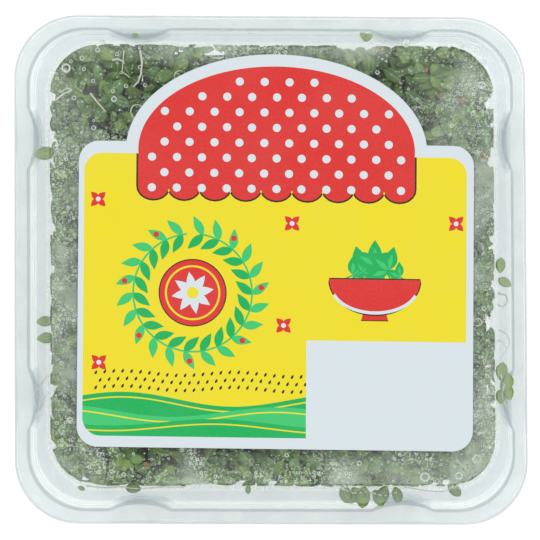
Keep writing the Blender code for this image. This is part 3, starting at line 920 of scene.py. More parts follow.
def new_tree(name, inputs):
    """A geometry tree with a Geometry input, named inputs with their values, and a Geometry output."""
    tree = bpy.data.node_groups.new(name, "GeometryNodeTree")
    for label, kind, value in [("Geometry", "Geometry", None), *inputs]:
        socket = tree.interface.new_socket(label, in_out="INPUT", socket_type="NodeSocket" + kind)
        if value is not None:
            socket.default_value = value
    tree.interface.new_socket("Geometry", in_out="OUTPUT", socket_type="NodeSocketGeometry")
    return tree, tree.nodes.new("NodeGroupInput").outputs, tree.nodes.new("NodeGroupOutput").inputs[0]


def geo(tree, kind, inputs=None, **settings):
    """The first result of a geometry node."""
    return add_node(tree, "GeometryNode" + kind, inputs, **settings).outputs[0]


def realized(tree, geometry):
    return geo(tree, "RealizeInstances", {"Geometry": geometry})


def with_material(tree, geometry, material):
    return geo(tree, "SetMaterial", {"Geometry": geometry, "Material": material})


def random_value(tree, kind, low, high, seed, offset):
    """A random number for each point, or a whole number or vector, from a seed and an offset of its own."""
    first, result = {"FLOAT_VECTOR": (0, 0), "FLOAT": (2, 1), "INT": (4, 2)}[kind]
    node = add_node(tree, "FunctionNodeRandomValue", {first: low, first + 1: high}, data_type=kind)
    fill(node.inputs["Seed"], plus(tree, seed, float(offset)))
    return node.outputs[result]


def store(tree, geometry, name, value, kind="FLOAT"):
    inputs = {"Geometry": geometry, "Name": name, "Value": value}
    return geo(tree, "StoreNamedAttribute", inputs, data_type=kind, domain="POINT")


def stored(tree, name, kind="FLOAT"):
    return geo(tree, "InputNamedAttribute", {"Name": name}, data_type=kind)


def grow(name, mesh, tree, values):
    """What a tree makes from a mesh with some values for its inputs, as a plain mesh object."""
    obj = link_mesh(name + "_seedbed", mesh)
    modifier = obj.modifiers.new("Grow", "NODES")
    modifier.node_group = tree
    sockets = {item.name: item.identifier for item in tree.interface.items_tree if item.in_out == "INPUT"}
    for label, value in values.items():
        modifier[sockets[label]] = value
    return plain_copy(obj, name)


# The sprouts

STEM_POINTS = 8
STEM_SIDES = 5
STEM_TAPER = 0.72
SEED_LEAF_LENGTH, SEED_LEAF_WIDTH, SEED_LEAF_THICK = 4.7 * MM, 3.0 * MM, 0.3 * MM
# A leaf's width at its stations, and how far it is cupped, sags and starts before its base
LEAF_WIDTHS = (0.26, 0.68, 0.93, 1.0, 0.92, 0.64)
LEAF_CUP, LEAF_SAG, LEAF_FOOT = 0.16, -0.12, -0.1 * MM
# Pairs of leaves: how steep each is, and its size
PAIR_KINDS = (
    (6, 12, 1.0, 0.96),
    (20, 8, 1.05, 0.9),
    (36, 28, 1.0, 1.0),
    (50, 14, 0.95, 1.0),
    (-12, 4, 1.1, 1.0),
    (60, 54, 1.0, 0.9),
    (24, -8, 0.85, 1.1),
)
PAIR_HEADINGS = (0, 172)
PAIR_TILT = 0.55
PAIR_SIZES = (0.85, 1.28)
CANOPY_HALF = 54.3 * MM
CANOPY_CORNER = 12.6 * MM
TIP_REACH = 55.1 * MM
PANEL_INSIDE = 55.95 * MM
CANOPY_TOP_Z = LID_UNDER_Z - 0.3 * MM
# The sprouts' beds: a grid of cells on the mat, and a strip along the mat's edges under it
GRID = 3
SPROUT_SPACING = 1.4 * MM
MOST_SPROUTS_A_M2 = 1700000.0
# How much shorter than the tallest a sprout may be, and how far it swings out on its way up
SHORTENING, BELLY = 0.42, 2.2
MAT_EDGE = 47.0 * MM
BED_DEPTH = 1.5 * MM
BORDER_WIDTH = 3.5 * MM
BORDER_DROP = 1.1 * SPROUT_SPACING
# Half the width that is free inside the tray and the lid's panel, by height
FREE_HEIGHTS = (2 * MM, 31.5 * MM, 33 * MM, TRAY_LEDGE_Z, LAND_Z + 0.4 * MM, HEIGHT - 1.5 * MM, HEIGHT)
FREE_HALVES = (
    49.7 * MM, 52.7 * MM, 53.6 * MM, CANOPY_HALF,
    PANEL_INSIDE + 0.3 * MM, PANEL_INSIDE, PANEL_INSIDE - 0.4 * MM,
)


def seed_leaf_into(bm, uv_layer, length, width, pitch_deg, heading_deg):
    """Adds a spoon-shaped leaf to a mesh: a closed six-sided form that starts at the origin."""
    rise = Matrix.Rotation(-math.radians(pitch_deg), 4, "Y")
    turn = Matrix.Rotation(math.radians(heading_deg), 4, "Z") @ rise
    rings = []
    for i, share in enumerate(LEAF_WIDTHS):
        t = (i + 0.15) / len(LEAF_WIDTHS)
        half = width / 2 * share
        cup = LEAF_CUP * width * share
        thick = SEED_LEAF_THICK * (1.0 - 0.5 * t)
        shoulder = cup * 0.35 + thick * 0.45
        section = ((-half, cup), (-half * 0.5, shoulder), (0, thick * 0.3),
                   (half * 0.5, shoulder), (half, cup), (0, -thick * 0.7))
        ring = []
        for y, z in section:
            vert = bm.verts.new(turn @ Vector((t * length, y, z + LEAF_SAG * length * t**2)))
            ring.append((vert, (t, 0.5 + 0.5 * y / (width / 2))))
        rings.append(ring)
    tip = (bm.verts.new(turn @ Vector((length, 0, LEAF_SAG * length + 0.05 * width))), (1.0, 0.5))
    foot = (bm.verts.new(turn @ Vector((LEAF_FOOT, 0, 0))), (0.0, 0.5))
    sides = len(rings[0])
    around = [(i, (i + 1) % sides) for i in range(sides)]
    faces = []
    for inner, outer in zip(rings, rings[1:]):
        faces += [(inner[i], inner[after], outer[after], outer[i]) for i, after in around]
    faces += [(rings[-1][i], rings[-1][after], tip) for i, after in around]
    faces += [(rings[0][after], rings[0][i], foot) for i, after in around]
    for corners in faces:
        face = bm.faces.new([vert for vert, uv in corners])
        for loop, (vert, uv) in zip(face.loops, corners):
            loop[uv_layer].uv = uv


def leaf_pairs():
    """A collection of unlike pairs of seed leaves, from open flat to nearly shut."""
    pairs = bpy.data.collections.new("leaf_pairs")
    for number, (*pitches, first_size, second_size) in enumerate(PAIR_KINDS):
        bm = bmesh.new()
        uv_layer = bm.loops.layers.uv.new("leaf")
        for pitch, size, heading in zip(pitches, (first_size, second_size), PAIR_HEADINGS):
            seed_leaf_into(bm, uv_layer, SEED_LEAF_LENGTH * size, SEED_LEAF_WIDTH * size, pitch, heading)
        bmesh.ops.recalc_face_normals(bm, faces=bm.faces)
        mesh = mesh_from(f"leaf_pair_{number}", bm)
        mesh.shade_smooth()
        pairs.objects.link(bpy.data.objects.new(mesh.name, mesh))
    return pairs


def bent_stems(tree, given, points):
    """Stems from stored feet: they lean, swing out on the way and fan out, and stay inside the walls."""
    line = geo(tree, "CurvePrimitiveLine", {"End": (0, 0, 1)})
    line = geo(tree, "ResampleCurve", {"Curve": line, "Count": STEM_POINTS})
    draw = random_value(tree, "FLOAT", 0.0, 1.0, given["Seed"], 6)
    tallness = one_minus(tree, times(tree, math_node(tree, "POWER", draw, 2.0), SHORTENING))
    scale = vector_of(tree, 1.0, 1.0, times(tree, tallness, given["Height"]))
    stems = geo(tree, "InstanceOnPoints", {"Points": points, "Instance": line, "Scale": scale})
    stems = realized(tree, stems)
    along = geo(tree, "SplineParameter")
    belly = times(tree, along, one_minus(tree, along), BELLY)
    leaning = scaled(tree, stored(tree, "lean", "FLOAT_VECTOR"), times(tree, along, along, given["Lean"]))
    swinging = scaled(tree, stored(tree, "swing", "FLOAT_VECTOR"), times(tree, belly, given["Lean"]))
    fanning = scaled(tree, stored(tree, "foot", "FLOAT_VECTOR"), times(tree, along, given["Fan"]))
    fanning = vector_node(tree, "MULTIPLY", fanning, (1, 1, 0))
    offset = vector_node(tree, "ADD", vector_node(tree, "ADD", leaning, swinging), fanning)
    spot = vector_node(tree, "ADD", geo(tree, "InputPosition"), offset)
    spot = vector_node(tree, "MINIMUM", spot, (TIP_REACH, TIP_REACH, 1.0))
    spot = vector_node(tree, "MAXIMUM", spot, (-TIP_REACH, -TIP_REACH, 0.0))
    stems = geo(tree, "SetPosition", {"Geometry": stems, "Position": spot})
    taper = remap(tree, along, 0.0, 1.0, 1.0, STEM_TAPER)
    return geo(tree, "SetCurveRadius", {"Curve": stems, "Radius": taper})


def sprout_tree():
    """Sprouts over a face: bent stems that fan out a little, each with a pair of leaves on its tip."""
    tree, given, result = new_tree(
        "sprouts",
        [("Spacing", "Float", SPROUT_SPACING), ("Height", "Float", 33 * MM), ("Lean", "Float", 4 * MM),
         ("Fan", "Float", 0.23), ("Stem Radius", "Float", 0.55 * MM), ("Seed", "Int", 1),
         ("Leaf Pairs", "Collection", None), ("Stem Material", "Material", None),
         ("Leaf Material", "Material", None)],
    )
    seed = given["Seed"]
    scatter = {"Mesh": given["Geometry"], "Distance Min": given["Spacing"], "Density Max": MOST_SPROUTS_A_M2,
               "Seed": seed}
    points = geo(tree, "DistributePointsOnFaces", scatter, distribute_method="POISSON")
    for offset, name in enumerate(("shade", "hue"), 1):
        points = store(tree, points, name, random_value(tree, "FLOAT", 0.0, 1.0, seed, offset))
    for offset, name in enumerate(("lean", "swing"), 3):
        way = random_value(tree, "FLOAT_VECTOR", (-1, -1, 0), (1, 1, 0), seed, offset)
        points = store(tree, points, name, way, "FLOAT_VECTOR")
    points = store(tree, points, "kind", random_value(tree, "INT", 0, len(PAIR_KINDS) - 1, seed, 5), "INT")
    points = store(tree, points, "foot", geo(tree, "InputPosition"), "FLOAT_VECTOR")
    stems = bent_stems(tree, given, points)
    ring = geo(tree, "CurvePrimitiveCircle", {"Resolution": STEM_SIDES, "Radius": given["Stem Radius"]})
    tubes = {"Curve": stems, "Profile Curve": ring, "Scale": geo(tree, "InputRadius"), "Fill Caps": True}
    tubes = geo(tree, "CurveToMesh", tubes)
    tips = geo(tree, "CurveEndpointSelection", {"Start Size": 0, "End Size": 1})
    info = {"Collection": given["Leaf Pairs"], "Separate Children": True, "Reset Children": True}
    low, high = (-PAIR_TILT, -PAIR_TILT, 0.0), (PAIR_TILT, PAIR_TILT, 6.283)
    turn = random_value(tree, "FLOAT_VECTOR", low, high, seed, 7)
    heads = {
        "Points": stems,
        "Selection": tips,
        "Instance": geo(tree, "CollectionInfo", info),
        "Pick Instance": True,
        "Instance Index": stored(tree, "kind", "INT"),
        "Rotation": add_node(tree, "FunctionNodeEulerToRotation", {0: turn}).outputs[0],
        "Scale": random_value(tree, "FLOAT", *PAIR_SIZES, seed, 8),
    }
    leaves = realized(tree, geo(tree, "InstanceOnPoints", heads))
    both = tree.nodes.new("GeometryNodeJoinGeometry")
    fill(both.inputs[0], with_material(tree, tubes, given["Stem Material"]))
    fill(both.inputs[0], with_material(tree, leaves, given["Leaf Material"]))
    fill(result, realized(tree, both.outputs[0]))
    return tree


def points_of(mesh):
    places = np.empty(len(mesh.vertices) * 3)
    mesh.vertices.foreach_get("co", places)
    return places.reshape(-1, 3)


def move_points(mesh, places):
    mesh.vertices.foreach_set("co", places.ravel())
    mesh.update()


def softly_under(values, start, soft):
    """Values past a start, eased so that they never pass it by more than a soft distance."""
    over = np.maximum(values - start, 0)
    return np.where(over > 0, start + soft * (1 - np.exp(-over / soft)), values)


def press_inside(mesh, corner, top_z, soft=2.2 * MM, side_soft=0.6 * MM):
    """Presses a mesh in under the lid and between the walls, softly, so that nothing is squashed flat."""
    places = points_of(mesh)
    places[:, 2] = softly_under(places[:, 2], top_z - soft, soft)
    half = np.interp(places[:, 2], FREE_HEIGHTS, FREE_HALVES)
    reach = np.abs(places[:, :2])
    held = np.minimum(reach, (half - corner)[:, None])
    beyond = reach - held
    length = np.linalg.norm(beyond, axis=1)
    share = softly_under(length, corner - side_soft, side_soft) / np.maximum(length, 1e-9)
    places[:, :2] = np.sign(places[:, :2]) * (held + beyond * share[:, None])
    move_points(mesh, places)


def face_mesh(name, *faces):
    bm = bmesh.new()
    for corners in faces:
        bm.faces.new([bm.verts.new(corner) for corner in corners])
    return mesh_from(name, bm)


def level_face(low, high):
    """The corners of a level rectangle between two opposite corners."""
    return [(x, y, low.z) for x, y in ((low.x, low.y), (high.x, low.y), (high.x, high.y), (low.x, high.y))]


def bunch_beds(i, j):
    """Where one bunch is rooted: its cell of the mat, and again a strip along each edge of the mat."""
    step = 2 * MAT_EDGE / GRID
    low = Vector((i * step - MAT_EDGE, j * step - MAT_EDGE, MAT_HIGH.z - BED_DEPTH))
    high = low + Vector((step, step, 0))
    beds = [level_face(low, high)]
    for axis, cell in ((0, i), (1, j)):
        strip_low, strip_high = low - Vector((0, 0, BORDER_DROP)), high.copy()
        if cell == 0:
            strip_high[axis] = low[axis] + BORDER_WIDTH
            beds.append(level_face(strip_low, strip_high))
        elif cell == GRID - 1:
            strip_low[axis] = high[axis] - BORDER_WIDTH
            beds.append(level_face(strip_low, strip_high))
    return beds


def make_sprouts(stem_material, leaf_material):
    """Nine bunches, one for each bunch node, cell by cell over the root mat."""
    pairs = leaf_pairs()
    tree = sprout_tree()
    pieces = []
    for cell in range(GRID**2):
        number = cell + 1
        piece = grow(f"sprouts_{number:02d}", face_mesh("bed", *bunch_beds(*divmod(cell, GRID))), tree, {
            "Seed": 10 + number, "Leaf Pairs": pairs, "Stem Material": stem_material,
            "Leaf Material": leaf_material,
        })
        press_inside(piece.data, CANOPY_CORNER, CANOPY_TOP_Z)
        piece.data.shade_smooth()
        pieces.append((piece, f"sprout_bunch_{number:02d}"))
    for pair in list(pairs.objects):
        bpy.data.objects.remove(pair)
    return pieces


# The root mat and its fibres

MAT_HALF, MAT_CORNER = 49.6 * MM, 9.8 * MM
# The mat's outside: heights, and how far in or out it goes there in millimetres
MAT_PROFILE = ((MAT_LOW.z, -6.4), (3.4 * MM, -0.9), (6.5 * MM, 0.0), (9.8 * MM, -0.5), (MAT_HIGH.z, -2.4))
CORNER_SHARE = 0.4
# How rough the mat is, in millimetres
MAT_ROUGHNESS = 0.14
FIBRE_LOW_Z, FIBRE_FREE_TOP = 3.6 * MM, 44 * MM
FIBRE_POINTS, FIBRE_SIDES = 9, 4
FIBRE_WANDER = 210.0


def make_root_mat(felt):
    """A felted slab with a rough outside, where the CAD mat is."""
    rng = random.Random(5)
    stations = side_stations(LUG_HALF)
    bm = bmesh.new()
    loops = []
    for z, out in MAT_PROFILE:
        ring = rounded_square(MAT_HALF + out * MM, MAT_CORNER + out * MM * CORNER_SHARE, z, 0.0, stations)
        loops.append([bm.verts.new(point) for point in ring])
    for lower, upper in zip(loops, loops[1:]):
        for i in range(len(lower)):
            after = (i + 1) % len(lower)
            bm.faces.new((lower[i], lower[after], upper[after], upper[i]))
    for loop in (loops[0][::-1], loops[-1]):
        middle = bm.verts.new((0, 0, loop[0].co.z))
        for i in range(len(loop)):
            bm.faces.new((loop[i], loop[(i + 1) % len(loop)], middle))
    bmesh.ops.recalc_face_normals(bm, faces=bm.faces)
    bmesh.ops.subdivide_edges(bm, edges=bm.edges[:], cuts=1, use_grid_fill=True)
    for vert in bm.verts:
        vert.co += Vector((rng.gauss(0, 1), rng.gauss(0, 1), rng.gauss(0, 1))) * MAT_ROUGHNESS * MM
    mat = link_mesh("root_felt", mesh_from("root_felt", bm), [felt])
    mat.data.shade_smooth()
    return mat


def fibre_tree():
    """Short curly fibres over a face, half sunk in it."""
    tree, given, result = new_tree(
        "fibres",
        [("Count Density", "Float", 150000.0), ("Length", "Float", 9 * MM), ("Radius", "Float", 0.14 * MM),
         ("Curl", "Float", 1.8 * MM), ("Seed", "Int", 1), ("Material", "Material", None)],
    )
    seed = given["Seed"]
    scatter = {"Mesh": given["Geometry"], "Density": given["Count Density"], "Seed": seed}
    scatter = add_node(tree, "GeometryNodeDistributePointsOnFaces", scatter, distribute_method="RANDOM")
    points = store(tree, scatter.outputs[0], "shade", random_value(tree, "FLOAT", 0.0, 1.0, seed, 1))
    points = store(tree, points, "phase", random_value(tree, "FLOAT", 0.0, 50.0, seed, 2))
    line = geo(tree, "CurvePrimitiveLine", {"Start": (-0.5, 0, 0), "End": (0.5, 0, 0)})
    line = geo(tree, "ResampleCurve", {"Curve": line, "Count": FIBRE_POINTS})
    spin = {"Axis": (0, 0, 1), "Angle": random_value(tree, "FLOAT", 0.0, 6.283, seed, 3)}
    turned = add_node(tree, "FunctionNodeAxisAngleToRotation", spin).outputs[0]
    both = {0: scatter.outputs["Rotation"], 1: turned}
    rotation = add_node(tree, "FunctionNodeRotateRotation", both, rotation_space="LOCAL").outputs[0]
    long = times(tree, random_value(tree, "FLOAT", 0.4, 1.0, seed, 4), given["Length"])
    lines = {"Points": points, "Instance": line, "Rotation": rotation, "Scale": long}
    fibres = realized(tree, geo(tree, "InstanceOnPoints", lines))
    phase = stored(tree, "phase")
    place = vector_node(tree, "ADD", geo(tree, "InputPosition"), vector_of(tree, phase, phase, 0.0))
    field = {"Vector": place, "Scale": FIBRE_WANDER, "Detail": 1.0}
    wander = add_node(tree, "ShaderNodeTexNoise", field).outputs["Color"]
    curling = scaled(tree, vector_node(tree, "SUBTRACT", wander, (0.5, 0.5, 0.5)), given["Curl"])
    fibres = geo(tree, "SetPosition", {"Geometry": fibres, "Offset": curling})
    ring = geo(tree, "CurvePrimitiveCircle", {"Resolution": FIBRE_SIDES, "Radius": given["Radius"]})
    tubes = geo(tree, "CurveToMesh", {"Curve": fibres, "Profile Curve": ring, "Fill Caps": True})
    fill(result, with_material(tree, realized(tree, tubes), given["Material"]))
    return tree


def make_root_fibres(mat, felt):
    """Roots that curl over the outside of the mat."""
    bm = bmesh.new()
    bm.from_mesh(mat.data)
    hidden = []
    for face in bm.faces:
        middle = face.calc_center_median()
        if middle.z < FIBRE_LOW_Z or (face.normal.z > 0.8 and middle.xy.length < FIBRE_FREE_TOP):
            hidden.append(face)
    bmesh.ops.delete(bm, geom=hidden, context="FACES")
    fibres = grow("root_fibres", mesh_from("mat_outside", bm), fibre_tree(), {"Seed": 4, "Material": felt})
    places = points_of(fibres.data)
    places[:, 2] = np.maximum(places[:, 2], MAT_LOW.z + 0.2 * MM)
    move_points(fibres.data, places)
    press_inside(fibres.data, MAT_CORNER, MAT_HIGH.z + 0.8 * MM, 0.4 * MM, 0.3 * MM)
    fibres.data.shade_smooth()
    return fibres


# Copies of a shape: seed hulls and drops

# Reddish seed coats among the leaves, as the photograph has them: place and width in pixels
HULL_PIXELS = ((382, 50, 8), (426, 70, 8), (440, 95, 7), (463, 100, 8), (484, 157, 12), (147, 465, 8))
HULLS_IN_LEAVES, HULLS_ON_SIDES, HULLS_ON_MAT = 70, 240, 160
# In millimetres: how far out they lie in the leaves, along the sides and on the mat, their heights and radii
LEAVES_REACH, SIDES_REACH, MAT_REACH = 50, 40, 46
LEAVES_Z, SIDES_Z, OVER_MAT = (40.0, 45.8), (4.5, 11.5), (0.0, 0.8)
SIDE_AT = 49.5
LEAF_HULLS, ROOT_HULLS = (0.6, 1.0), (0.6, 0.95)

# The largest drops, as the photograph has them: place and width in pixels
LARGE_DROPS = (
    (66, 68, 9.5), (82, 58, 5), (114, 99, 6), (58, 62, 5), (74, 98, 4.5), (482, 85, 8), (477, 459, 10),
    (425, 477, 10), (459, 476, 8), (406, 43, 8), (462, 45, 5), (476, 48, 7), (484, 62, 5), (461, 94, 4),
    (126, 86, 4), (113, 91, 4), (117, 54, 4), (103, 42, 4), (84, 69, 4), (93, 81, 4), (145, 85, 4),
)
# Random drops by falling size: how many tries, and their radii in millimetres
DROP_SIZES = ((70, 0.40, 0.65), (800, 0.24, 0.40), (3200, 0.15, 0.24))
# Pieces of drops: radii in millimetres, and the sides and rings of a drop
DROP_PIECES = (("drops_large", 0.40, 9.0, 24, 8), ("drops_small", 0.0, 0.40, 8, 3))
DROP_ANGLE = math.radians(100)
DROP_FLATNESS = 0.9
DROP_REACH, DROP_CORNER_AT, DROP_CORNER = 55.4, 43.6 * MM, 11.7 * MM
DROP_APART = 1.12
DROP_CELL = 3.0 * MM
SHARE_UNDER_LABEL = 0.12
LABEL_COVER = 2.0


def scatter_tree():
    """A copy of one shape at each point of a mesh, by the point's size, spin and tilt."""
    tree, given, result = new_tree(
        "scatter",
        [("Shape", "Object", None), ("Flatness", "Float", 1.0), ("Spin Seed", "Int", 1),
         ("Tilt", "Float", 0.0), ("Material", "Material", None)],
    )
    shape = add_node(tree, "GeometryNodeObjectInfo", {"Object": given["Shape"]}).outputs["Geometry"]
    size = stored(tree, "size")
    scale = vector_of(tree, size, size, times(tree, size, given["Flatness"]))
    turn = random_value(tree, "FLOAT_VECTOR", (-1, -1, -3.14), (1, 1, 3.14), given["Spin Seed"], 1)
    turn = vector_node(tree, "MULTIPLY", turn, vector_of(tree, given["Tilt"], given["Tilt"], 1.0))
    rotation = add_node(tree, "FunctionNodeEulerToRotation", {0: turn}).outputs[0]
    copies = {"Points": given["Geometry"], "Instance": shape, "Rotation": rotation, "Scale": scale}
    copies = realized(tree, geo(tree, "InstanceOnPoints", copies))
    fill(result, with_material(tree, copies, given["Material"]))
    return tree


def grow_copies(name, shape, places, sizes, tree, values):
    """Copies of a shape at places, each with its size, as one piece."""
    mesh = bpy.data.meshes.new(name + "_points")
    mesh.from_pydata([tuple(place) for place in places], [], [])
    mesh.attributes.new("size", "FLOAT", "POINT").data.foreach_set("value", sizes)
    piece = grow(name, mesh, tree, {"Shape": shape, **values})
    bpy.data.objects.remove(shape)
    return piece


def hull_shape():
    """A shrunken seed coat: an egg with a dent in one side."""
    bm = bmesh.new()
    bmesh.ops.create_uvsphere(bm, u_segments=8, v_segments=6, radius=1.0)
    for vert in bm.verts:
        x, y, z = vert.co
        dent = 0.45 * math.exp(-6 * ((x - 0.1) ** 2 + (z - 0.9) ** 2))
        vert.co = Vector((x * 1.1, y * 0.68 + 0.12 * x**2, z * 0.5 - dent * 0.5))
    mesh = mesh_from("hull_shape", bm)
    mesh.shade_smooth()
    return bpy.data.objects.new("hull_shape", mesh)


def make_hulls(tree, material):
    """Seed hulls: a few among the leaves, many on and round the root mat."""
    rng = random.Random(21)
    places = [at_pixel(x, y, CANOPY_TOP_Z - 1.0 * MM) for x, y, width in HULL_PIXELS]
    sizes = [width * MM_A_PIXEL / 2 for x, y, width in HULL_PIXELS]
    for _ in range(HULLS_IN_LEAVES):
        spot = Vector([rng.uniform(-LEAVES_REACH, LEAVES_REACH) for _ in "xy"]) * MM
        places.append(Vector((*spot, rng.uniform(*LEAVES_Z) * MM)))
        sizes.append(rng.uniform(*LEAF_HULLS) * MM)
    for _ in range(HULLS_ON_SIDES):
        turn = Matrix.Rotation(math.pi / 2 * rng.randrange(4), 3, "Z")
        along = rng.uniform(-SIDES_REACH, SIDES_REACH) * MM
        places.append(turn @ Vector((SIDE_AT * MM, along, rng.uniform(*SIDES_Z) * MM)))
        sizes.append(rng.uniform(*ROOT_HULLS) * MM)
    for _ in range(HULLS_ON_MAT):
        spot = Vector([rng.uniform(-MAT_REACH, MAT_REACH) for _ in "xy"]) * MM
        places.append(Vector((*spot, MAT_HIGH.z + rng.uniform(*OVER_MAT) * MM)))
        sizes.append(rng.uniform(*ROOT_HULLS) * MM)
    values = {"Tilt": 0.8, "Spin Seed": 3, "Material": material}
    return grow_copies("seed_hulls", hull_shape(), places, sizes, tree, values)


def drop_shape(segments, rings):
    """A hanging drop: the lower cap of a ball, closed by a flat face at the top."""
    bm = bmesh.new()
    loops = []
    for ring in range(rings):
        angle = DROP_ANGLE * (1 - ring / rings)
        radius, depth = math.sin(angle), math.cos(DROP_ANGLE) - math.cos(angle)
        loops.append([
            bm.verts.new((radius * math.cos(turn), radius * math.sin(turn), depth))
            for turn in (2 * math.pi * k / segments for k in range(segments))
        ])
    pole = bm.verts.new((0, 0, math.cos(DROP_ANGLE) - 1))
    for upper, lower in zip(loops, loops[1:]):
        bridge(bm, upper, lower)
    for i in range(segments):
        bm.faces.new((loops[-1][i], pole, loops[-1][(i + 1) % segments]))
    bm.faces.new(loops[0])
    bmesh.ops.recalc_face_normals(bm, faces=bm.faces)
    mesh = mesh_from("drop_shape", bm)
    mesh.shade_smooth()
    mesh.set_sharp_from_angle(angle=math.radians(40))
    return bpy.data.objects.new("drop_shape", mesh)


def drop_points():
    """Places and radii of drops that keep clear of each other, by falling size."""
    rng = random.Random(11)
    grid = {}
    placed = []

    def fits(x, y, radius):
        column, row = int(x // DROP_CELL), int(y // DROP_CELL)
        for i in (column - 1, column, column + 1):
            for j in (row - 1, row, row + 1):
                for other_x, other_y, other_radius in grid.get((i, j), ()):
                    if math.hypot(x - other_x, y - other_y) < (radius + other_radius) * DROP_APART:
                        return
        grid.setdefault((column, row), []).append((x, y, radius))
        placed.append((x, y, radius))

    for pixel_x, pixel_y, width in LARGE_DROPS:
        spot = at_pixel(pixel_x, pixel_y, LID_UNDER_Z)
        fits(spot.x, spot.y, width * MM_A_PIXEL / 2)
    outline = label_outline(LABEL_COVER, LABEL_COVER, LABEL_COVER, LABEL_COVER)
    cover = [tuple(Vector(point) * MM + LABEL_BODY_CENTRE) for point in outline]
    for count, low, high in DROP_SIZES:
        spots = np.array([[rng.uniform(-DROP_REACH, DROP_REACH) * MM for _ in "xy"] for _ in range(count)])
        for (x, y), under_label in zip(spots, inside_outline(spots, cover)):
            beyond = math.hypot(max(abs(x) - DROP_CORNER_AT, 0), max(abs(y) - DROP_CORNER_AT, 0))
            if beyond < DROP_CORNER and (not under_label or rng.random() < SHARE_UNDER_LABEL):
                fits(x, y, rng.uniform(low, high) * MM)
    return placed


def make_drops(tree, material):
    """Two pieces: the large drops, finely rounded, and the many small ones."""
    drops = drop_points()
    values = {"Flatness": DROP_FLATNESS, "Spin Seed": 5, "Material": material}
    pieces = []
    for name, low, high, segments, rings in DROP_PIECES:
        chosen = [drop for drop in drops if low * MM <= drop[2] < high * MM]
        places = [(x, y, LID_UNDER_Z - 0.015 * MM) for x, y, radius in chosen]
        radii = [radius for x, y, radius in chosen]
        pieces.append(grow_copies(name, drop_shape(segments, rings), places, radii, tree, values))
    return pieces


# Loose sprouts and threads

# Threads that the photograph shows near the lid: their pixels, and radius in millimetres
THREAD_PIXELS = (
    (((124, 50), (123, 62), (122, 72), (127, 75), (130, 78)), 0.15),
    (((140, 50), (142, 62), (141, 74), (138, 82), (133, 87)), 0.3),
    (((90, 93), (98, 103), (106, 112)), 0.25),
    (((56, 100), (63, 94), (72, 90), (68, 88), (62, 91)), 0.25),
    (((112, 60), (118, 59), (124, 62)), 0.3),
)
# Random threads, in millimetres: how far out they start, how deep under the leaves' top, length and radius
RANDOM_THREADS = 16
THREADS_REACH, THREAD_DEPTHS, THREAD_LENGTHS, THREAD_RADII = 52, (0.6, 3.5), (6, 16), (0.12, 0.24)
THREAD_CURL, THREAD_POINTS = 0.6, 14

# Bits caught between the ledge and the land: leaves by pixel, heading and size, threads by pixels and radius
RIM_LEAVES = (
    (34.5, 155, 8, 1.15), (36.5, 322, 4, 0.9), (37, 339, 6, 0.95), (511, 286, 150, 0.8),
    (500, 273, 86, 0.85), (500, 380, 80, 1.0), (509, 384, 120, 0.9), (502, 392, 60, 1.05),
    (510, 400, 100, 0.85), (501, 404, 95, 0.8), (342, 486, -70, 1.0), (352, 488, -50, 1.15),
    (364, 486, -95, 1.2), (374, 490, -60, 1.0), (386, 486, -110, 1.1), (395, 487, -75, 0.9),
    (358, 500, 170, 0.8), (448, 485, -40, 0.9), (360, 33, -40, 0.55), (372, 34, -140, 0.6),
    (139, 36, 170, 0.4), (78, 487, -20, 0.4), (141, 489, 176, 0.85), (248, 485, -90, 0.5),
)
RIM_THREADS = (
    (((498, 293), (506, 295), (508, 301), (503, 307), (498, 305)), 0.3),
    (((499, 330), (507, 334), (510, 342), (506, 351), (500, 358)), 0.13),
    (((498, 340), (504, 343), (507, 350)), 0.11),
    (((86, 486), (104, 488), (122, 487), (140, 489), (163, 487), (184, 488)), 0.2),
    (((500, 374), (504, 384), (502, 396), (506, 408)), 0.3),
    (((340, 487), (352, 493), (368, 492), (384, 496), (397, 492)), 0.32),
    (((346, 485), (352, 494), (350, 503), (357, 506)), 0.16),
    (((361, 487), (368, 499), (378, 503)), 0.14),
    (((388, 486), (381, 497), (390, 501), (398, 499)), 0.14),
    (((404, 487), (420, 490), (440, 492), (455, 489)), 0.16),
    (((34, 160), (41, 156), (48, 158)), 0.14),
    (((35, 394), (41, 384), (48, 375)), 0.2),
    (((39, 410), (44, 399), (49, 392)), 0.16),
)
RIM_SHADES = (0.85, 1.3)
# The leaves below this row of pixels are darker
LOWER_RIM_PX, DARKER = 470, 0.55


def tube_into(bm, points, radius, sides=6, taper=0.6):
    """Adds a closed tube along points to a mesh."""
    rings = []
    for i, point in enumerate(points):
        run = (points[min(i + 1, len(points) - 1)] - points[max(i - 1, 0)]).normalized()
        across = run.cross(Vector((0, 0, 1)))
        across = across.normalized() if across.length > 1e-6 else Vector((1, 0, 0))
        up = across.cross(run)
        width = radius * (1 - (1 - taper) * i / (len(points) - 1))
        turns = (2 * math.pi * k / sides for k in range(sides))
        rings.append([bm.verts.new(point + (across * math.cos(t) + up * math.sin(t)) * width) for t in turns])
    for inner, outer in zip(rings, rings[1:]):
        bridge(bm, inner, outer)
    bm.faces.new(rings[0])
    bm.faces.new(rings[-1][::-1])


def route_into(bm, pixels, z, radius, parts):
    """Adds a tube along a route of pixels at a height, each stretch of it in some parts."""
    route = [at_pixel(x, y, z) for x, y in pixels]
    points = [before.lerp(after, k / parts) for before, after in zip(route, route[1:]) for k in range(parts)]
    tube_into(bm, points + [route[-1]], radius)


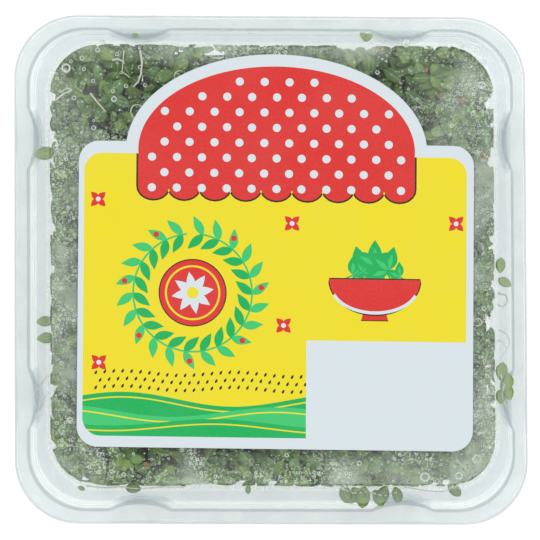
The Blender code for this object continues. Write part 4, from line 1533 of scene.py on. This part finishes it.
def wandering(start, heading_deg, length, curl, rng, steps):
    """Points of a thread that lies level and wanders."""
    points = [Vector(start)]
    heading = math.radians(heading_deg)
    turn = rng.uniform(-1, 1) * curl
    for _ in range(steps - 1):
        turn += rng.uniform(-0.5, 0.5) * curl
        heading += turn
        run = Vector((math.cos(heading), math.sin(heading), rng.uniform(-0.08, 0.08))) * length / (steps - 1)
        points.append(points[-1] + run)
    return points


def loose_piece(name, bm, material):
    """A smooth piece from a mesh of loose bits."""
    piece = link_mesh(name, mesh_from(name, bm), [material])
    piece.data.shade_smooth()
    return piece


def make_threads(material):
    """Pale stems and roots that lie over the leaves under the lid."""
    rng = random.Random(31)
    bm = bmesh.new()
    for pixels, radius in THREAD_PIXELS:
        route_into(bm, pixels, CANOPY_TOP_Z - 0.5 * MM, radius * MM, 4)
    for _ in range(RANDOM_THREADS):
        spot = [rng.uniform(-THREADS_REACH, THREADS_REACH) * MM for _ in "xy"]
        start = (*spot, CANOPY_TOP_Z - rng.uniform(*THREAD_DEPTHS) * MM)
        heading, length = rng.uniform(0, 360), rng.uniform(*THREAD_LENGTHS) * MM
        points = wandering(start, heading, length, THREAD_CURL, rng, THREAD_POINTS)
        tube_into(bm, points, rng.uniform(*THREAD_RADII) * MM)
    bmesh.ops.recalc_face_normals(bm, faces=bm.faces)
    threads = loose_piece("loose_threads", bm, material)
    press_inside(threads.data, CANOPY_CORNER, CANOPY_TOP_Z + 0.1 * MM, 0.4 * MM)
    return threads


def make_rim_leaves(material):
    """Single seed leaves that lie on the tray's ledge, most of them pale."""
    rng = random.Random(41)
    bm = bmesh.new()
    uv_layer = bm.loops.layers.uv.new("leaf")
    shade_layer = bm.verts.layers.float.new("shade")
    for pixel_x, pixel_y, heading, size in RIM_LEAVES:
        known = set(bm.verts)
        seed_leaf_into(bm, uv_layer, SEED_LEAF_LENGTH * size, SEED_LEAF_WIDTH * size, 2.0, heading)
        added = [vert for vert in bm.verts if vert not in known]
        bmesh.ops.translate(bm, verts=added, vec=at_pixel(pixel_x, pixel_y, TRAY_LEDGE_Z + 0.35 * MM))
        shade = rng.uniform(*RIM_SHADES) - (DARKER if pixel_y > LOWER_RIM_PX else 0.0)
        for vert in added:
            vert[shade_layer] = shade
    bmesh.ops.recalc_face_normals(bm, faces=bm.faces)
    for vert in bm.verts:
        vert.co.z = min(max(vert.co.z, TRAY_LEDGE_Z + 0.08 * MM), LAND_Z - WALL - 0.05 * MM)
    return loose_piece("rim_leaves", bm, material)


def make_rim_threads(material):
    """Roots that lie on the tray's ledge."""
    bm = bmesh.new()
    for pixels, radius in RIM_THREADS:
        route_into(bm, pixels, TRAY_LEDGE_Z + (radius + 0.12) * MM, radius * MM, 3)
    bmesh.ops.recalc_face_normals(bm, faces=bm.faces)
    return loose_piece("rim_threads", bm, material)


# The stage: a white floor that glows a little, as a light table does

FLOOR_HALF = 3
FLOOR_GLOW = 0.4
FLOOR_GREYS = ((0.93, 0.93, 0.93), (0.96, 0.96, 0.96))
# Soft lamps round the punnet: how many, how steep they stand, and their distance, size and power
LAMPS, LAMP_RISE, LAMP_DISTANCE, LAMP_SIZE, LAMP_POWER = 4, 1.3, 1.5, 1.0, 3.0
# The room: its tones at the sides and overhead, and how far up one passes into the other
ROOM_TONES, OVERHEAD = ((0.84, 0.85, 0.86), (1.0, 1.0, 1.0)), (0.90, 0.985)
ROOM_STRENGTH = 0.80


def make_floor():
    material, tree, place = new_material("pale_floor")
    body = shader(tree, "Principled", {
        "Base Color": mixed(tree, noise(tree, place, 30.0), *FLOOR_GREYS),
        "Roughness": 0.9,
        "Specular IOR Level": 0.1,
        "Emission Color": (1.0, 1.0, 1.0, 1),
        "Emission Strength": FLOOR_GLOW,
    })
    corners = [(x * FLOOR_HALF, y * FLOOR_HALF, 0) for x, y in ((-1, -1), (1, -1), (1, 1), (-1, 1))]
    floor = link_mesh("floor", face_mesh("floor", corners), [finished(material, body)])


def light_stage():
    for number in range(LAMPS):
        angle = math.radians(45 + 360 / LAMPS * number)
        lamp = bpy.data.lights.new(f"soft_{number}", "AREA")
        lamp.size = LAMP_SIZE
        lamp.energy = LAMP_POWER
        light = bpy.data.objects.new(lamp.name, lamp)
        away = Vector((math.cos(angle), math.sin(angle), LAMP_RISE)).normalized()
        light.location = away * LAMP_DISTANCE
        light.rotation_euler = away.to_track_quat("Z", "Y").to_euler()
        scene.collection.objects.link(light)
    scene.world = bpy.data.worlds.new("soft_room")
    scene.world.use_nodes = True
    tree = scene.world.node_tree
    up = parts_of(tree, add_node(tree, "ShaderNodeTexCoord").outputs["Generated"])["Z"]
    room = tree.nodes["Background"].inputs
    fill(room["Color"], mixed(tree, remap(tree, up, *OVERHEAD), *ROOM_TONES))
    fill(room["Strength"], ROOM_STRENGTH)


# Everything in its place

# The label's inks; the paper itself is white
INKS = {
    "white": ("label_white", (0.66, 0.73, 0.76)),
    "yellow": ("label_yellow", (0.82, 0.69, 0.02)),
    "red": ("label_red", (0.68, 0.035, 0.03)),
    "green": ("label_green", (0.01, 0.42, 0.10)),
    "leaf": ("label_leaf_green", (0.05, 0.55, 0.16)),
    "black": ("label_black", (0.02, 0.02, 0.02)),
}
# Each sheet's mist: between which heights, and how much mist and how strong the beads' painted glint rings are
LID_MIST = (LAND_Z + 0.4 * MM, LID_UNDER_Z + 0.2 * MM, 0.43, 0.85)
TRAY_MIST = (12.0 * MM, 38.0 * MM, 0.14, 0.2)


def settle(piece, slot, *nodes):
    """A finished piece rides on the one body and may stand for CAD nodes, which it hides; its slot is not
    used.
    """
    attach(piece, "root")
    if nodes:
        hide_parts(*nodes)


def main():
    place_camera()
    make_floor()
    light_stage()
    lid_plastic = clear_plastic("lid_plastic", LEVEL_BEADS, *LID_MIST)
    tray_plastic = clear_plastic("tray_plastic", WALL_BEADS, *TRAY_MIST)
    inks = {ink: printed_paper(*print_of) for ink, print_of in INKS.items()}
    leaf, stalk = seed_leaf(), stem()
    felt = root_felt("root_felt", (0.80, 0.76, 0.62), (0.42, 0.36, 0.24))
    thread = root_felt("root_thread", (0.86, 0.84, 0.72), (0.66, 0.62, 0.48))
    tray = pressed_sheet("tray_sheet", TRAY_BENDS, LUG_HALF + LUG_CLEARANCE, tray_plastic)
    settle(tray, "clear_plastic", "tray")
    settle(pressed_sheet("lid_sheet", LID_BENDS, LUG_HALF, lid_plastic), "clear_plastic", "lid")
    settle(make_label(inks), "printed_paper", "label")
    for piece, node in make_sprouts(stalk, leaf):
        settle(piece, "green_leaf", node)
    mat = make_root_mat(felt)
    settle(mat, "roots", "root_mat")
    settle(make_root_fibres(mat, thread), "roots")
    scatter = scatter_tree()
    settle(make_hulls(scatter, seed_hull()), "roots")
    for piece in make_drops(scatter, water()):
        settle(piece, "water")
    settle(make_threads(thread), "roots")
    settle(make_rim_leaves(leaf), "green_leaf")
    settle(make_rim_threads(thread), "roots")
    scene.view_settings.view_transform = "Standard"
    scene.cycles.transparent_max_bounces = 32


main()
